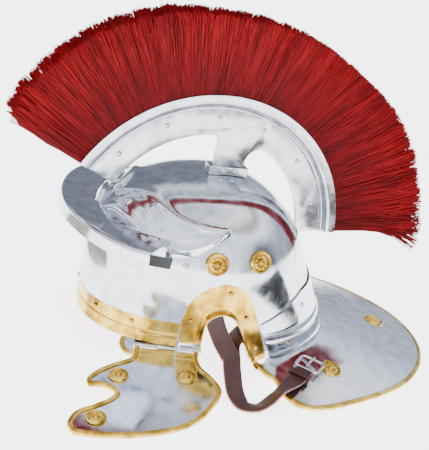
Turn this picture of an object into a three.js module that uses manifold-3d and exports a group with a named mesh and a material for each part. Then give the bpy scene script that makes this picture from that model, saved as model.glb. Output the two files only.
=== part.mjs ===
// A Roman legionary's helmet standing on a table, its left cheek guard swung out and the
// right one folded in underneath.
// Millimetres: x across to the wearer's left, y back from brow to nape, z up from the table.
import * as THREE from 'three';
import { mergeVertices } from 'three/addons/utils/BufferGeometryUtils.js';
import Module from 'manifold-3d';

const wasm = await Module();
wasm.setup();

// Fits and sheet
const seat = 0.3;
const sheet = 1.2;
const brass = 1.2;
const leather = 2.5;

// Bowl
const crownHeight = 174;
const bowlHalfWidth = 99;
const bowlFrontReach = 129;
const bowlNapeReach = 134;
const bowlWall = 1.4;
const browEdgeHeight = 36;
const browEdgeSlope = 0.12;
const earFootHeight = 12;
const napeEdgeHeight = 25;
const reliefHeight = 3.6;
const reliefHalfWidth = 6.5;

// Brow guard, its end straps and the brass band below
const browGuardHeight = 131;
const browGuardReach = 157;
const browGuardHalfWidth = 102;
const browFlangeDrop = 12;
const browTabLength = 28;
const browTabHeight = 19;
const browTabFoot = 103;
const browStripHeight = 11;
const bandHeight = 25;
const bandFlare = 2;
const bandRib = 1.1;
const bandGapAtEar = 2.2;

// Ear openings and their brass guards
const earLength = 100;
const earHeight = 100;
const earFlange = 9;

// Neck guard and edging
const neckReach = 266;
const neckHalfWidth = 158;
const neckFrontTurn = THREE.MathUtils.degToRad(115);
const napeBandTop = 85;
const napeRib = 3;
const neckBaseStep = 7;
const edgingDepth = 5.2;
const edgingHeight = 5.2;

// Cheek guards and hinges
const cheekLength = 140;
const cheekWidth = 134;
const cheekBulge = 4;
const hingeLength = 64;
const hingeRadius = 3.3;
const pinRadius = 1.2;
const pinClearance = 0.35;
const hingeBack = -58;
const leafDepth = 13;
const leafGap = 1;
const cheekStart = 5.2;

// Crest holder, its channel and post, and the hair
const crestCentreBack = -19;
const crestArchRise = 39;
const crestRadius = 151.5;
const crestPlateDepth = 31.2;
const crestFrontAngle = THREE.MathUtils.degToRad(152.5);
const crestRearAngle = THREE.MathUtils.degToRad(6.5);
const crestPlate = 4;
const channelDepth = 11;
const channelWidth = 16;
const channelWall = 1.3;
const crestInnerRadius = crestRadius - channelDepth - seat - crestPlateDepth;
const crestCentreHeight = crownHeight + crestArchRise - crestInnerRadius;
const postFront = -19;
const postRear = 14;
const postFrontFillet = 7;
const postRearFillet = 15;
const socketRise = 8;
const socketWidth = 13;
const hairLength = 93;
const hairTipWidth = 30;
const lockCount = 22;

// Rosettes, straps and buckle
const rosetteRadius = 11.3;
const cheekRosetteRadius = 9.5;
const rosetteHeight = 4.4;
const strapWidth = 18;
const buckleLength = 22;
const buckleWidth = 27;
const buckleWire = 2.6;
const keeperWidth = 8;

const steelLook = { color: 0xa8acb8, metalness: 1, roughness: 0.12 };
const brassLook = { color: 0xc9a85c, metalness: 1, roughness: 0.22 };
const hairLook = { color: 0xa3222a, metalness: 0, roughness: 0.8 };
const leatherLook = { color: 0x4a201c, metalness: 0, roughness: 0.55 };

const helmet = new THREE.Group();
const V = (x, y, z) => new THREE.Vector3(x, y, z);

// Adds one named mesh of the given look
function addPiece(name, geometry, look) {
  geometry.computeVertexNormals();
  const mesh = new THREE.Mesh(geometry, new THREE.MeshStandardMaterial(look));
  mesh.name = name;
  helmet.add(mesh);
  return mesh;
}

// Turns vertex and face lists into a geometry whose faces point out
function geometryFrom(points, faces) {
  let volume = 0;
  for (const [a, b, c] of faces) {
    volume += points[a].dot(points[b].clone().cross(points[c]));
  }
  const index = faces.flatMap(([a, b, c]) => (volume < 0 ? [a, c, b] : [a, b, c]));
  const geometry = new THREE.BufferGeometry();
  const numbers = points.flatMap((p) => [p.x, p.y, p.z]);
  geometry.setAttribute('position', new THREE.Float32BufferAttribute(numbers, 3));
  geometry.setIndex(index);
  return geometry;
}

// Fills an end between the two sides that a section lists one after the other
function capFaces(size, start) {
  const faces = [];
  for (let i = 0; i + 1 < size / 2; i += 1) {
    const [a, b, c, d] = [i, i + 1, size - 2 - i, size - 1 - i].map((k) => start + k);
    faces.push([a, b, c], [a, c, d]);
  }
  return faces;
}

// Skins a row of closed sections, ending in caps or in single points; a section lists one
// side of its sheet on the way out and the other side on the way back
function loft(rings, startPoint = null, endPoint = null) {
  const points = rings.flat();
  const size = rings[0].length;
  const faces = [];
  for (let r = 0; r + 1 < rings.length; r += 1) {
    for (let i = 0; i < size; i += 1) {
      const a = r * size + i;
      const b = r * size + ((i + 1) % size);
      faces.push([a, b, b + size], [a, b + size, a + size]);
    }
  }
  const last = (rings.length - 1) * size;
  if (startPoint) {
    points.push(startPoint);
    const tip = points.length - 1;
    for (let i = 0; i < size; i += 1) faces.push([tip, (i + 1) % size, i]);
  } else {
    capFaces(size, 0).forEach(([a, b, c]) => faces.push([c, b, a]));
  }
  if (endPoint) {
    points.push(endPoint);
    const tip = points.length - 1;
    for (let i = 0; i < size; i += 1) faces.push([tip, last + i, last + ((i + 1) % size)]);
  } else {
    capFaces(size, last).forEach((face) => faces.push(face));
  }
  return geometryFrom(points, faces);
}

// Changes between a geometry and a solid for joins and cuts
function solid(geometry) {
  const bare = geometry.clone();
  bare.deleteAttribute('normal');
  bare.deleteAttribute('uv');
  const merged = mergeVertices(bare, 1e-4);
  return new wasm.Manifold(new wasm.Mesh({
    numProp: 3,
    vertProperties: Float32Array.from(merged.attributes.position.array),
    triVerts: Uint32Array.from(merged.index.array),
  }));
}

function geometryOf(body) {
  const mesh = body.getMesh();
  const geometry = new THREE.BufferGeometry();
  geometry.setAttribute('position', new THREE.Float32BufferAttribute(mesh.vertProperties, 3));
  geometry.setIndex(Array.from(mesh.triVerts));
  return geometry;
}

const join = (geometries) => geometryOf(geometries.map(solid).reduce((all, next) => all.add(next)));

// The same geometry with every point carried to a new place
function carried(geometry, place) {
  const points = [];
  const places = geometry.attributes.position;
  for (let i = 0; i < places.count; i += 1) points.push(place(V(0, 0, 0).fromBufferAttribute(places, i)));
  const faces = [];
  const order = geometry.index.array;
  for (let i = 0; i < order.length; i += 3) faces.push([order[i], order[i + 1], order[i + 2]]);
  return geometryFrom(points, faces);
}

const mirrored = (geometry) => carried(geometry, (p) => V(-p.x, p.y, p.z));

// Adds a piece on the wearer's left and its mirror image on the right
function addPair(name, geometry, look) {
  addPiece(`${name}_left`, geometry, look);
  addPiece(`${name}_right`, mirrored(geometry), look);
}

// Smooth values between the rows of a table
function between(rows, place, column) {
  const at = Math.min(Math.max(place, 0), 1) * (rows.length - 1);
  const i = Math.min(Math.floor(at), rows.length - 2);
  const t = at - i;
  const pick = (k) => rows[Math.min(Math.max(k, 0), rows.length - 1)][column];
  const [a, b, c, d] = [pick(i - 1), pick(i), pick(i + 1), pick(i + 2)];
  const bend = (2 * a - 5 * b + 4 * c - d) * t * t + (3 * b - a - 3 * c + d) * t * t * t;
  return b + 0.5 * ((c - a) * t + bend);
}

// Level sections of the bowl, as shares of its height, reaches and half width
const bowlRows = [
  { height: 0.046, front: 0.93, nape: 1, width: 0.95 },
  { height: 0.172, front: 0.95, nape: 0.97, width: 0.98 },
  { height: 0.345, front: 0.98, nape: 0.888, width: 1 },
  { height: 0.563, front: 1, nape: 0.739, width: 0.99 },
  { height: 0.678, front: 0.984, nape: 0.66, width: 0.955 },
  { height: 0.764, front: 0.938, nape: 0.592, width: 0.9 },
  { height: 0.845, front: 0.845, nape: 0.5, width: 0.805 },
  { height: 0.914, front: 0.69, nape: 0.39, width: 0.67 },
  { height: 0.96, front: 0.512, nape: 0.275, width: 0.51 },
  { height: 0.989, front: 0.279, nape: 0.145, width: 0.285 },
  { height: 1, front: 0, nape: 0, width: 0 },
];

function bowlSection(level) {
  return {
    height: crownHeight * between(bowlRows, level, 'height'),
    front: bowlFrontReach * between(bowlRows, level, 'front'),
    nape: bowlNapeReach * between(bowlRows, level, 'nape'),
    width: bowlHalfWidth * between(bowlRows, level, 'width'),
  };
}

// Level of the bowl's table at a height over the table top
function levelAt(height) {
  let low = 0;
  let high = 1;
  for (let i = 0; i < 30; i += 1) {
    const middle = (low + high) / 2;
    if (bowlSection(middle).height < height) low = middle;
    else high = middle;
  }
  return low;
}

// Embossed brow ridges: turn from the brow in degrees, share of the crown height
const reliefRidges = [
  [
    [5, 0.755], [14, 0.79], [24, 0.785], [34, 0.757], [44, 0.722],
    [53, 0.716], [61, 0.73], [69, 0.775], [77, 0.84],
  ],
  [
    [3, 0.855], [11, 0.882], [21, 0.89], [31, 0.884], [41, 0.872], [52, 0.846], [64, 0.832], [77, 0.84],
  ],
];
const ridgeLines = reliefRidges.map((ridge) => {
  const stops = ridge.map(([turn, share]) => (
    V(THREE.MathUtils.degToRad(turn) * bowlHalfWidth, crownHeight * share, 0)
  ));
  return new THREE.CatmullRomCurve3(stops).getPoints(30);
});

function reliefAt(turn, height) {
  const here = V(Math.abs(turn) * bowlHalfWidth, height, 0);
  let rise = 0;
  const line = new THREE.Line3();
  const near = V(0, 0, 0);
  for (const stops of ridgeLines) {
    let gap = Infinity;
    for (let i = 0; i + 1 < stops.length; i += 1) {
      line.set(stops[i], stops[i + 1]).closestPointToPoint(here, true, near);
      gap = Math.min(gap, near.distanceTo(here));
    }
    rise = Math.max(rise, reliefHeight * Math.exp(-((gap / reliefHalfWidth) ** 2)));
  }
  return rise;
}

// Point of the bowl's plain outer face, by turn from the brow and table level
function bowlBase(turn, level) {
  const row = bowlSection(level);
  const reach = Math.cos(turn) > 0 ? row.front : row.nape;
  return V(row.width * Math.sin(turn), -reach * Math.cos(turn), row.height);
}

function bowlNormal(turn, level) {
  const step = 0.004;
  const here = Math.min(Math.max(level, step), 1 - step);
  const around = bowlBase(turn + step, here).sub(bowlBase(turn - step, here));
  const upward = bowlBase(turn, here + step).sub(bowlBase(turn, here - step));
  return around.cross(upward).normalize();
}

// Point at a distance off the outer face, the embossing counted where it lies outside
function offBowl(turn, level, distance, embossed = true) {
  const base = bowlBase(turn, level);
  const rise = embossed ? reliefAt(turn, base.z) : 0;
  return base.addScaledVector(bowlNormal(turn, level), distance + rise);
}

// Turn from the brow at which the bowl reaches a given y
function turnAt(back, level) {
  const row = bowlSection(level);
  const reach = back < 0 ? row.front : row.nape;
  return Math.acos(Math.min(Math.max(-back / reach, -1), 1));
}

// Left-side place on the bowl at a given y and z
function sidePlace(back, height) {
  const level = levelAt(height);
  return { level, turn: turnAt(back, level) };
}

const smooth = (t) => THREE.MathUtils.smoothstep(t, 0, 1);
const browEdge = (back) => browEdgeHeight + browEdgeSlope * back;
const napeEdge = (back) => earFootHeight + (napeEdgeHeight - earFootHeight) * (back / bowlNapeReach);

// Height of the bowl's lower edge, changing over inside the ear opening
function bowlEdge(turn) {
  const reach = Math.cos(turn) > 0 ? bowlFrontReach : bowlNapeReach;
  const back = -reach * Math.cos(turn);
  const change = smooth((back / earLength + 0.3) / 0.45);
  return THREE.MathUtils.lerp(browEdge(back), napeEdge(Math.max(back, 0)), change);
}

// Ear opening: inner and outer outline of its guard, as shares of its length and height
const earRows = [
  { innerBack: -0.32, innerHeight: 0.345, outerBack: -0.5, outerHeight: 0.325 },
  { innerBack: -0.33, innerHeight: 0.47, outerBack: -0.52, outerHeight: 0.47 },
  { innerBack: -0.33, innerHeight: 0.6, outerBack: -0.52, outerHeight: 0.65 },
  { innerBack: -0.29, innerHeight: 0.69, outerBack: -0.47, outerHeight: 0.82 },
  { innerBack: -0.2, innerHeight: 0.74, outerBack: -0.34, outerHeight: 0.95 },
  { innerBack: -0.1, innerHeight: 0.72, outerBack: -0.18, outerHeight: 1.01 },
  { innerBack: -0.02, innerHeight: 0.65, outerBack: -0.02, outerHeight: 0.97 },
  { innerBack: 0.05, innerHeight: 0.54, outerBack: 0.08, outerHeight: 0.88 },
  { innerBack: 0.12, innerHeight: 0.41, outerBack: 0.17, outerHeight: 0.73 },
  { innerBack: 0.2, innerHeight: 0.27, outerBack: 0.27, outerHeight: 0.54 },
  { innerBack: 0.28, innerHeight: 0.17, outerBack: 0.38, outerHeight: 0.35 },
  { innerBack: 0.33, innerHeight: 0.12, outerBack: 0.45, outerHeight: 0.2 },
];
const earStations = 18;

function earStation(share) {
  const place = (side) => ({
    back: earLength * between(earRows, share, `${side}Back`),
    height: earHeight * between(earRows, share, `${side}Height`),
  });
  return { inner: place('inner'), outer: place('outer') };
}

// Steel bowl, open below, with both ear openings cut through
function makeBowl() {
  const frontColumns = 28;
  const napeColumns = 14;
  const turns = [];
  for (let i = 0; i < frontColumns; i += 1) {
    turns.push(-Math.PI / 2 + (Math.PI * i) / frontColumns);
  }
  for (let i = 0; i < napeColumns; i += 1) {
    turns.push(Math.PI / 2 + (Math.PI * i) / napeColumns);
  }
  const ringAt = (share, distance, embossed) => turns.map((turn) => {
    const start = levelAt(bowlEdge(turn));
    return offBowl(turn, start + (1 - start) * share, distance, embossed);
  });
  const outerRows = 16;
  const innerRows = 6;
  const rings = [];
  for (let i = innerRows - 1; i >= 0; i -= 1) rings.push(ringAt(i / innerRows, -bowlWall, false));
  for (let i = 0; i < outerRows; i += 1) rings.push(ringAt(i / outerRows, 0, true));
  const shell = loft(rings, V(0, 0, crownHeight - bowlWall), V(0, 0, crownHeight));
  const outline = new THREE.Shape();
  const below = -10;
  const backs = [];
  for (let i = 0; i <= earStations; i += 1) {
    const { inner, outer } = earStation(i / earStations);
    const grow = 0.06;
    backs.push([
      THREE.MathUtils.lerp(inner.back, outer.back, grow),
      THREE.MathUtils.lerp(inner.height, outer.height, grow),
    ]);
  }
  outline.moveTo(backs[0][0], below);
  backs.forEach(([back, height]) => outline.lineTo(back, height));
  outline.lineTo(backs[backs.length - 1][0], below);
  const reach = 2 * bowlHalfWidth;
  const cutter = new THREE.ExtrudeGeometry(outline, { depth: 2 * reach, bevelEnabled: false });
  cutter.rotateX(Math.PI / 2).rotateZ(Math.PI / 2).translate(-reach, 0, 0);
  return geometryOf(solid(shell).subtract(solid(cutter)));
}
addPiece('bowl', makeBowl(), steelLook);

// Brass guard round one ear opening, with its flange standing out
function makeEarGuard() {
  const rings = [];
  for (let i = 0; i <= earStations; i += 1) {
    const { inner, outer } = earStation(i / earStations);
    const spot = (share, distance) => {
      const back = THREE.MathUtils.lerp(inner.back, outer.back, share);
      const height = THREE.MathUtils.lerp(inner.height, outer.height, share);
      const { level, turn } = sidePlace(back, height);
      return offBowl(turn, level, distance);
    };
    const lip = brass / Math.hypot(outer.back - inner.back, outer.height - inner.height);
    rings.push([
      spot(0, earFlange), spot(0, seat), spot(0.55, seat), spot(1, seat),
      spot(1, seat + brass), spot(0.55, seat + brass), spot(lip, seat + brass), spot(lip, earFlange),
    ]);
  }
  return loft(rings);
}
addPair('ear_guard', makeEarGuard(), brassLook);

// Brass band round the brow, ending in front of the ear guards
function makeBrowBand() {
  const stations = 24;
  const endBack = -(0.52 * earLength + bandGapAtEar);
  const endTurn = turnAt(endBack, levelAt(browEdge(endBack) + bandHeight / 2));
  const profile = [
    [seat, 1], [seat, 0.5], [seat, 0.42], [seat, 0.34], [seat + bandFlare, 0],
    [seat + brass + bandFlare, 0], [seat + brass, 0.34], [seat + brass + bandRib, 0.42],
    [seat + brass, 0.5], [seat + brass, 1],
  ];
  const rings = [];
  for (let i = 0; i <= stations; i += 1) {
    const turn = endTurn * ((2 * i) / stations - 1);
    const foot = browEdge(-bowlFrontReach * Math.cos(turn));
    rings.push(profile.map(([distance, share]) => {
      const level = levelAt(foot + share * bandHeight);
      return offBowl(turn, level, distance);
    }));
  }
  return loft(rings);
}
addPiece('brow_band', makeBrowBand(), brassLook);

// Half plan of the brow guard's outer edge, as shares of its half width and reach
const browPlan = [[0, -1], [0.29, -0.978], [0.54, -0.924], [0.765, -0.84], [0.92, -0.745], [0.99, -0.656]];

// Steel brow guard: level plate, turned-down flange and an end strap to a tab on each side
function makeBrowGuard() {
  const half = browPlan.map(([x, y]) => V(x * browGuardHalfWidth, y * browGuardReach, browGuardHeight));
  const other = half.slice(1).reverse().map((p) => V(-p.x, p.y, p.z));
  const edge = new THREE.CatmullRomCurve3([...other, ...half], false, 'centripetal');
  const stations = 24;
  const underLevel = levelAt(browGuardHeight - sheet);
  const rings = [];
  for (let i = 0; i <= stations; i += 1) {
    const rim = edge.getPointAt(i / stations);
    const row = bowlSection(underLevel);
    const turn = Math.atan2(rim.x / row.width, -rim.y / row.front);
    const inner = [underLevel, levelAt(browGuardHeight)].map((level) => offBowl(turn, level, 4 * seat));
    const root = inner.reduce((far, next) => (far.setZ(0).length() > next.setZ(0).length() ? far : next));
    const out = V(rim.x - root.x, rim.y - root.y, 0).normalize();
    const place = (from, distance, height) => V(from.x, from.y, height).addScaledVector(out, distance);
    const under = browGuardHeight - sheet;
    const drop = browGuardHeight - browFlangeDrop;
    rings.push([
      place(root, 0, browGuardHeight), place(rim, 0, browGuardHeight), place(rim, 1, drop),
      place(rim, 1 - sheet, drop), place(rim, -sheet, under), place(root, 0, under),
    ]);
  }
  const guard = loft(rings);
  const tabTop = browTabFoot + browTabHeight;
  const tabFront = -74;
  const tab = [];
  for (let i = 0; i <= 6; i += 1) {
    const back = tabFront + (browTabLength * i) / 6;
    const spot = (height, distance) => {
      const { level, turn } = sidePlace(back, height);
      return offBowl(turn, level, distance + seat);
    };
    const middle = browTabFoot + browTabHeight / 2;
    tab.push([
      spot(browTabFoot, seat), spot(middle, seat), spot(tabTop, seat),
      spot(tabTop, seat + sheet), spot(middle, seat + sheet), spot(browTabFoot, seat + sheet),
    ]);
  }
  const corner = half[half.length - 1];
  const stripStart = V(corner.x, corner.y, browGuardHeight - browFlangeDrop + 1);
  const stripFoot = browTabFoot + 3;
  const land = sidePlace(tabFront + 2, stripFoot + browStripHeight / 2);
  const stripEnd = offBowl(land.turn, land.level, 4 * seat).setZ(stripFoot);
  const run = stripEnd.clone().sub(stripStart).setZ(0).normalize();
  const aside = V(-run.y, run.x, 0).multiplyScalar(-sheet);
  const lead = 1.5;
  const strip = [stripStart.clone().addScaledVector(run, -lead), stripEnd].map((p) => [
    p.clone(), p.clone().add(aside), p.clone().add(aside).add(V(0, 0, browStripHeight)),
    p.clone().add(V(0, 0, browStripHeight)),
  ]);
  const sides = [loft(tab), loft(strip)];
  return join([guard, ...sides, ...sides.map(mirrored)]);
}
addPiece('brow_guard', makeBrowGuard(), steelLook);

// Half plan of the neck guard's rim from its front corner to the nape: shares of its size,
// and the share of the ear foot's height by which the corner lifts
const neckPlan = [
  [0.672, 0.18, 0.9], [0.76, 0.166, 0.62], [0.867, 0.176, 0.34], [0.95, 0.205, 0.13], [1, 0.256, 0.03],
  [0.994, 0.338, 0], [0.949, 0.44, 0], [0.873, 0.568, 0], [0.785, 0.684, 0], [0.671, 0.79, 0],
  [0.532, 0.876, 0], [0.38, 0.94, 0], [0.2, 0.985, 0], [0, 1, 0],
];
const neckHalf = neckPlan.map(([x, y, lift]) => (
  V(x * neckHalfWidth, y * neckReach, edgingHeight / 2 + lift * earFootHeight)
));
const neckRim = new THREE.CatmullRomCurve3(
  [...neckHalf, ...neckHalf.slice(0, -1).reverse().map((p) => V(-p.x, p.y, p.z))],
  false,
  'centripetal',
);

// Where the collar turns out into the skirt, for a station along the rim
function neckBase(share) {
  const turn = neckFrontTurn + (2 * Math.PI - 2 * neckFrontTurn) * share;
  const back = -bowlNapeReach * Math.cos(turn);
  const foot = napeEdge(Math.max(back, 0));
  return { turn, foot, point: offBowl(turn, levelAt(foot), neckBaseStep, false).setZ(foot) };
}

// Rim point, direction back to the collar and upward normal of the skirt there
function neckStation(share) {
  const rim = neckRim.getPointAt(share);
  const along = neckRim.getTangentAt(share);
  const { point } = neckBase(share);
  const toBase = point.clone().sub(rim);
  const inward = toBase.addScaledVector(along, -toBase.dot(along)).normalize();
  const normal = inward.clone().cross(along).normalize();
  if (normal.z < 0) normal.negate();
  return { rim, inward, normal };
}
const neckStations = 26;

// Steel neck guard: nape band lapping over the bowl, two ribs and the sloping skirt
function makeNeckGuard() {
  const rings = [];
  for (let i = 0; i <= neckStations; i += 1) {
    const share = i / neckStations;
    const { turn, foot, point } = neckBase(share);
    const { rim, inward, normal } = neckStation(share);
    const wall = (height, distance) => offBowl(turn, levelAt(height), distance + seat, false);
    const over = seat + sheet;
    const end = rim.clone().addScaledVector(inward, edgingDepth / 2);
    const upper = end.clone().addScaledVector(normal, sheet / 2);
    const lower = end.clone().addScaledVector(normal, -sheet / 2);
    const top = point.clone().add(V(0, 0, 1));
    const bottom = point.clone().add(V(0, 0, 1 - 1.3 * sheet));
    rings.push([
      wall(napeBandTop, over), wall(foot + 34, over), wall(foot + 27, over + napeRib),
      wall(foot + 21, over + 0.5), wall(foot + 13, over + napeRib), wall(foot + 7, over + 1.5),
      top, upper,
      lower, bottom, wall(foot + 3, seat), wall(foot + 13, seat), wall(foot + 21, seat),
      wall(foot + 27, seat), wall(foot + 34, seat), wall(napeBandTop, seat),
    ]);
  }
  return loft(rings);
}
addPiece('neck_guard', makeNeckGuard(), steelLook);

// Folded brass edging: a channel whose slot takes the sheet's edge
function makeEdging(places) {
  const high = edgingHeight / 2;
  const slot = sheet / 2 + 2.5 * seat;
  const back = edgingDepth / 2 - seat;
  const section = [
    [edgingDepth, high], [0, high], [0, -high], [edgingDepth, -high],
    [edgingDepth, -slot], [back, -slot], [back, slot], [edgingDepth, slot],
  ];
  return loft(places.map(({ rim, inward, normal }) => section.map(([depth, height]) => (
    rim.clone().addScaledVector(inward, depth).addScaledVector(normal, height)
  ))));
}
const neckEdgingPlaces = [];
for (let i = 0; i <= neckStations; i += 1) neckEdgingPlaces.push(neckStation(i / neckStations));
addPiece('neck_edging', makeEdging(neckEdgingPlaces), brassLook);

// Hinge axis of the left cheek guard, just under the band's edge
const hingeDirection = V(0.34, 0.93, browEdgeSlope * 0.94).normalize();
const hingeLand = sidePlace(hingeBack, browEdge(hingeBack));
const hingeCentre = offBowl(hingeLand.turn, hingeLand.level, 1.2)
  .setZ(browEdge(hingeBack) - hingeRadius - 4 * seat);

// Upward and outward directions of the cheek guard's plane for a given outward rise
function cheekDirections(rise) {
  const backwardRise = (hingeDirection.z - rise * hingeDirection.x) / hingeDirection.y;
  const up = V(-rise, -backwardRise, 1).normalize();
  return { up, out: hingeDirection.clone().cross(up).normalize() };
}
let { up: cheekUp, out: cheekOut } = cheekDirections(0);

// Place in the cheek guard's own plane: along the hinge, out from it and up
function cheekPlace(along, out, up) {
  return hingeCentre.clone().addScaledVector(hingeDirection, along)
    .addScaledVector(cheekOut, out).addScaledVector(cheekUp, up);
}

// Cheek guard outline from the hinge's front end round to its rear end,
// as shares of its width along the hinge and its length out from it
const cheekPlan = [
  [-0.235, 0.05], [-0.25, 0.18], [-0.38, 0.275], [-0.49, 0.375], [-0.53, 0.455], [-0.51, 0.51],
  [-0.44, 0.51], [-0.37, 0.535], [-0.33, 0.585], [-0.36, 0.64], [-0.45, 0.71], [-0.57, 0.79], [-0.61, 0.905],
  [-0.57, 0.975], [-0.45, 1], [-0.25, 0.995], [0.07, 0.91], [0.23, 0.79], [0.33, 0.63], [0.385, 0.45],
  [0.33, 0.33], [0.24, 0.21], [0.22, 0.12], [0.22, 0.05],
];
const cheekCurve = new THREE.CatmullRomCurve3(
  cheekPlan.map(([along, out]) => V(along * cheekWidth, out * cheekLength, 0)),
  false,
  'centripetal',
);
const cheekStations = 30;

// Height of the bulged cheek guard over its plane
function cheekRise(along, out) {
  const across = along / (cheekWidth * 0.7) + 0.08;
  const down = (out / cheekLength - 0.5) / 0.75;
  return cheekBulge * Math.max(0, 1 - across * across - down * down);
}

function cheekStation(share) {
  const spot = cheekCurve.getPointAt(share);
  const step = cheekCurve.getTangentAt(share);
  const lift = (x, y) => cheekPlace(x, y, cheekRise(x, y));
  const side = V(-step.y, step.x, 0);
  const rim = lift(spot.x, spot.y);
  const reach = 2;
  const along = lift(spot.x + step.x, spot.y + step.y).sub(rim).normalize();
  const toward = lift(spot.x - side.x * reach, spot.y - side.y * reach).sub(rim);
  const inward = toward.addScaledVector(along, -toward.dot(along)).normalize();
  const normal = inward.clone().cross(along).normalize();
  if (normal.dot(cheekUp) < 0) normal.negate();
  return { rim, inward, normal, spot, side };
}

// The guard swings out until the lowest place of its edging meets the table
function lowestEdging() {
  const heights = [];
  for (let i = 0; i <= cheekStations; i += 1) {
    const { rim, inward, normal } = cheekStation(i / cheekStations);
    for (const depth of [0, edgingDepth]) {
      heights.push(rim.z + inward.z * depth - (normal.z * edgingHeight) / 2);
    }
  }
  return Math.min(...heights);
}
let lowRise = -0.5;
let highRise = 0.5;
for (let i = 0; i < 24; i += 1) {
  const rise = (lowRise + highRise) / 2;
  ({ up: cheekUp, out: cheekOut } = cheekDirections(rise));
  if (lowestEdging() < 0) lowRise = rise;
  else highRise = rise;
}

// Bulged steel plate cut to the outline, clear of the edging
function makeCheekGuard() {
  const cells = 8;
  const grid = [];
  const frontSide = -0.68 * cheekWidth;
  const rearSide = 0.46 * cheekWidth;
  for (let j = 0; j <= cells; j += 1) {
    const out = -5 + ((cheekLength + 10) * j) / cells;
    const row = [];
    for (let i = 0; i <= cells; i += 1) {
      const along = THREE.MathUtils.lerp(frontSide, rearSide, i / cells);
      row.push([along, out, cheekRise(along, out)]);
    }
    grid.push(row);
  }
  const rings = grid.map((row) => [
    ...row.map(([x, y, z]) => V(x, y, z + sheet / 2)),
    ...row.slice().reverse().map(([x, y, z]) => V(x, y, z - sheet / 2)),
  ]);
  const outline = new THREE.Shape();
  for (let i = 0; i <= cheekStations; i += 1) {
    const { spot, side } = cheekStation(i / cheekStations);
    const x = spot.x - (side.x * edgingDepth) / 2;
    const y = Math.max(spot.y - (side.y * edgingDepth) / 2, cheekStart);
    if (i === 0) outline.moveTo(x, y);
    else outline.lineTo(x, y);
  }
  const depth = 60;
  const block = new THREE.ExtrudeGeometry(outline, { depth, bevelEnabled: false });
  block.translate(0, 0, -depth / 2);
  const plate = geometryOf(solid(loft(rings)).intersect(solid(block)));
  return carried(plate, (p) => cheekPlace(p.x, p.y, p.z));
}
const cheekEdgingPlaces = [];
for (let i = 0; i <= cheekStations; i += 1) cheekEdgingPlaces.push(cheekStation(i / cheekStations));

// Round bar or tube along the hinge between two places
function hingeTube(from, to, radius, bore) {
  const sides = 8;
  const ring = (along, size) => Array.from({ length: sides }, (_, i) => {
    const turn = (2 * Math.PI * i) / sides;
    return cheekPlace(along, Math.cos(turn) * size, Math.sin(turn) * size);
  });
  const outer = solid(loft([ring(from, radius), ring(to, radius)]));
  if (!bore) return geometryOf(outer);
  const past = 1;
  return geometryOf(outer.subtract(solid(loft([ring(from - past, bore), ring(to + past, bore)]))));
}

// Flat bar in the hinge's own directions
function hingeBar(alongSpan, outSpan, upSpan) {
  const ring = (along) => [[0, 0], [1, 0], [1, 1], [0, 1]].map(([i, j]) => (
    cheekPlace(along, outSpan[i], upSpan[j])
  ));
  return loft([ring(alongSpan[0]), ring(alongSpan[1])]);
}

const knuckle = hingeLength / 3;
const knuckleGap = 0.5;
const boreRadius = pinRadius + pinClearance;

// Bowl's leaf: two knuckles, tongues under the edge and a plate inside the bowl
function makeBowlLeaf() {
  const pieces = [];
  const plate = [];
  const steps = 4;
  for (let i = 0; i <= steps; i += 1) {
    const back = hingeCentre.y + hingeDirection.y * hingeLength * (0.92 * (i / steps) - 0.5);
    const foot = browEdge(back);
    const spot = (height, distance) => {
      const { level, turn } = sidePlace(back, height);
      return offBowl(turn, level, distance, false);
    };
    const inside = -bowlWall - leafGap;
    plate.push([
      spot(foot - 3, inside), spot(foot + leafDepth, inside),
      spot(foot + leafDepth, inside - sheet), spot(foot - 3, inside - sheet),
    ]);
  }
  pieces.push(loft(plate));
  for (const side of [-1, 1]) {
    const near = side * (knuckle / 2 + knuckleGap);
    const far = side * (hingeLength / 2);
    const [from, to] = side < 0 ? [far, near] : [near, far];
    pieces.push(hingeTube(from, to, hingeRadius, boreRadius));
    const tongueEnd = side < 0 ? -13 : -11;
    const tongueHeight = [hingeRadius - 2 * sheet, hingeRadius - sheet];
    pieces.push(hingeBar([from, to], [tongueEnd, -boreRadius - 0.5], tongueHeight));
  }
  return join(pieces);
}
addPair('hinge_bowl_leaf', makeBowlLeaf(), steelLook);

// Cheek's leaf: the middle knuckle and a plate under the cheek guard
function makeCheekLeaf() {
  const half = knuckle / 2 - knuckleGap;
  const lift = cheekRise(0, cheekStart) - sheet / 2 - seat;
  return join([
    hingeTube(-half, half, hingeRadius, boreRadius),
    hingeBar([-half, half], [boreRadius + 0.5, cheekStart + leafDepth], [lift - sheet, lift]),
  ]);
}
addPair('hinge_pin', hingeTube(-hingeLength / 2 - 1, hingeLength / 2 + 1, pinRadius, 0), steelLook);

// Place in the crest's plane, by angle from the rear and radius
function crestPlace(angle, radius, across = 0) {
  return V(
    across,
    crestCentreBack + radius * Math.cos(angle),
    crestCentreHeight + radius * Math.sin(angle),
  );
}

// Steel crest plate: an arch with two windows and a post down to the crown
const crestSteps = 24;
const plateRadius = crestRadius - channelDepth - seat;
const postFoot = crownHeight + 2 * seat + sheet;

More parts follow.
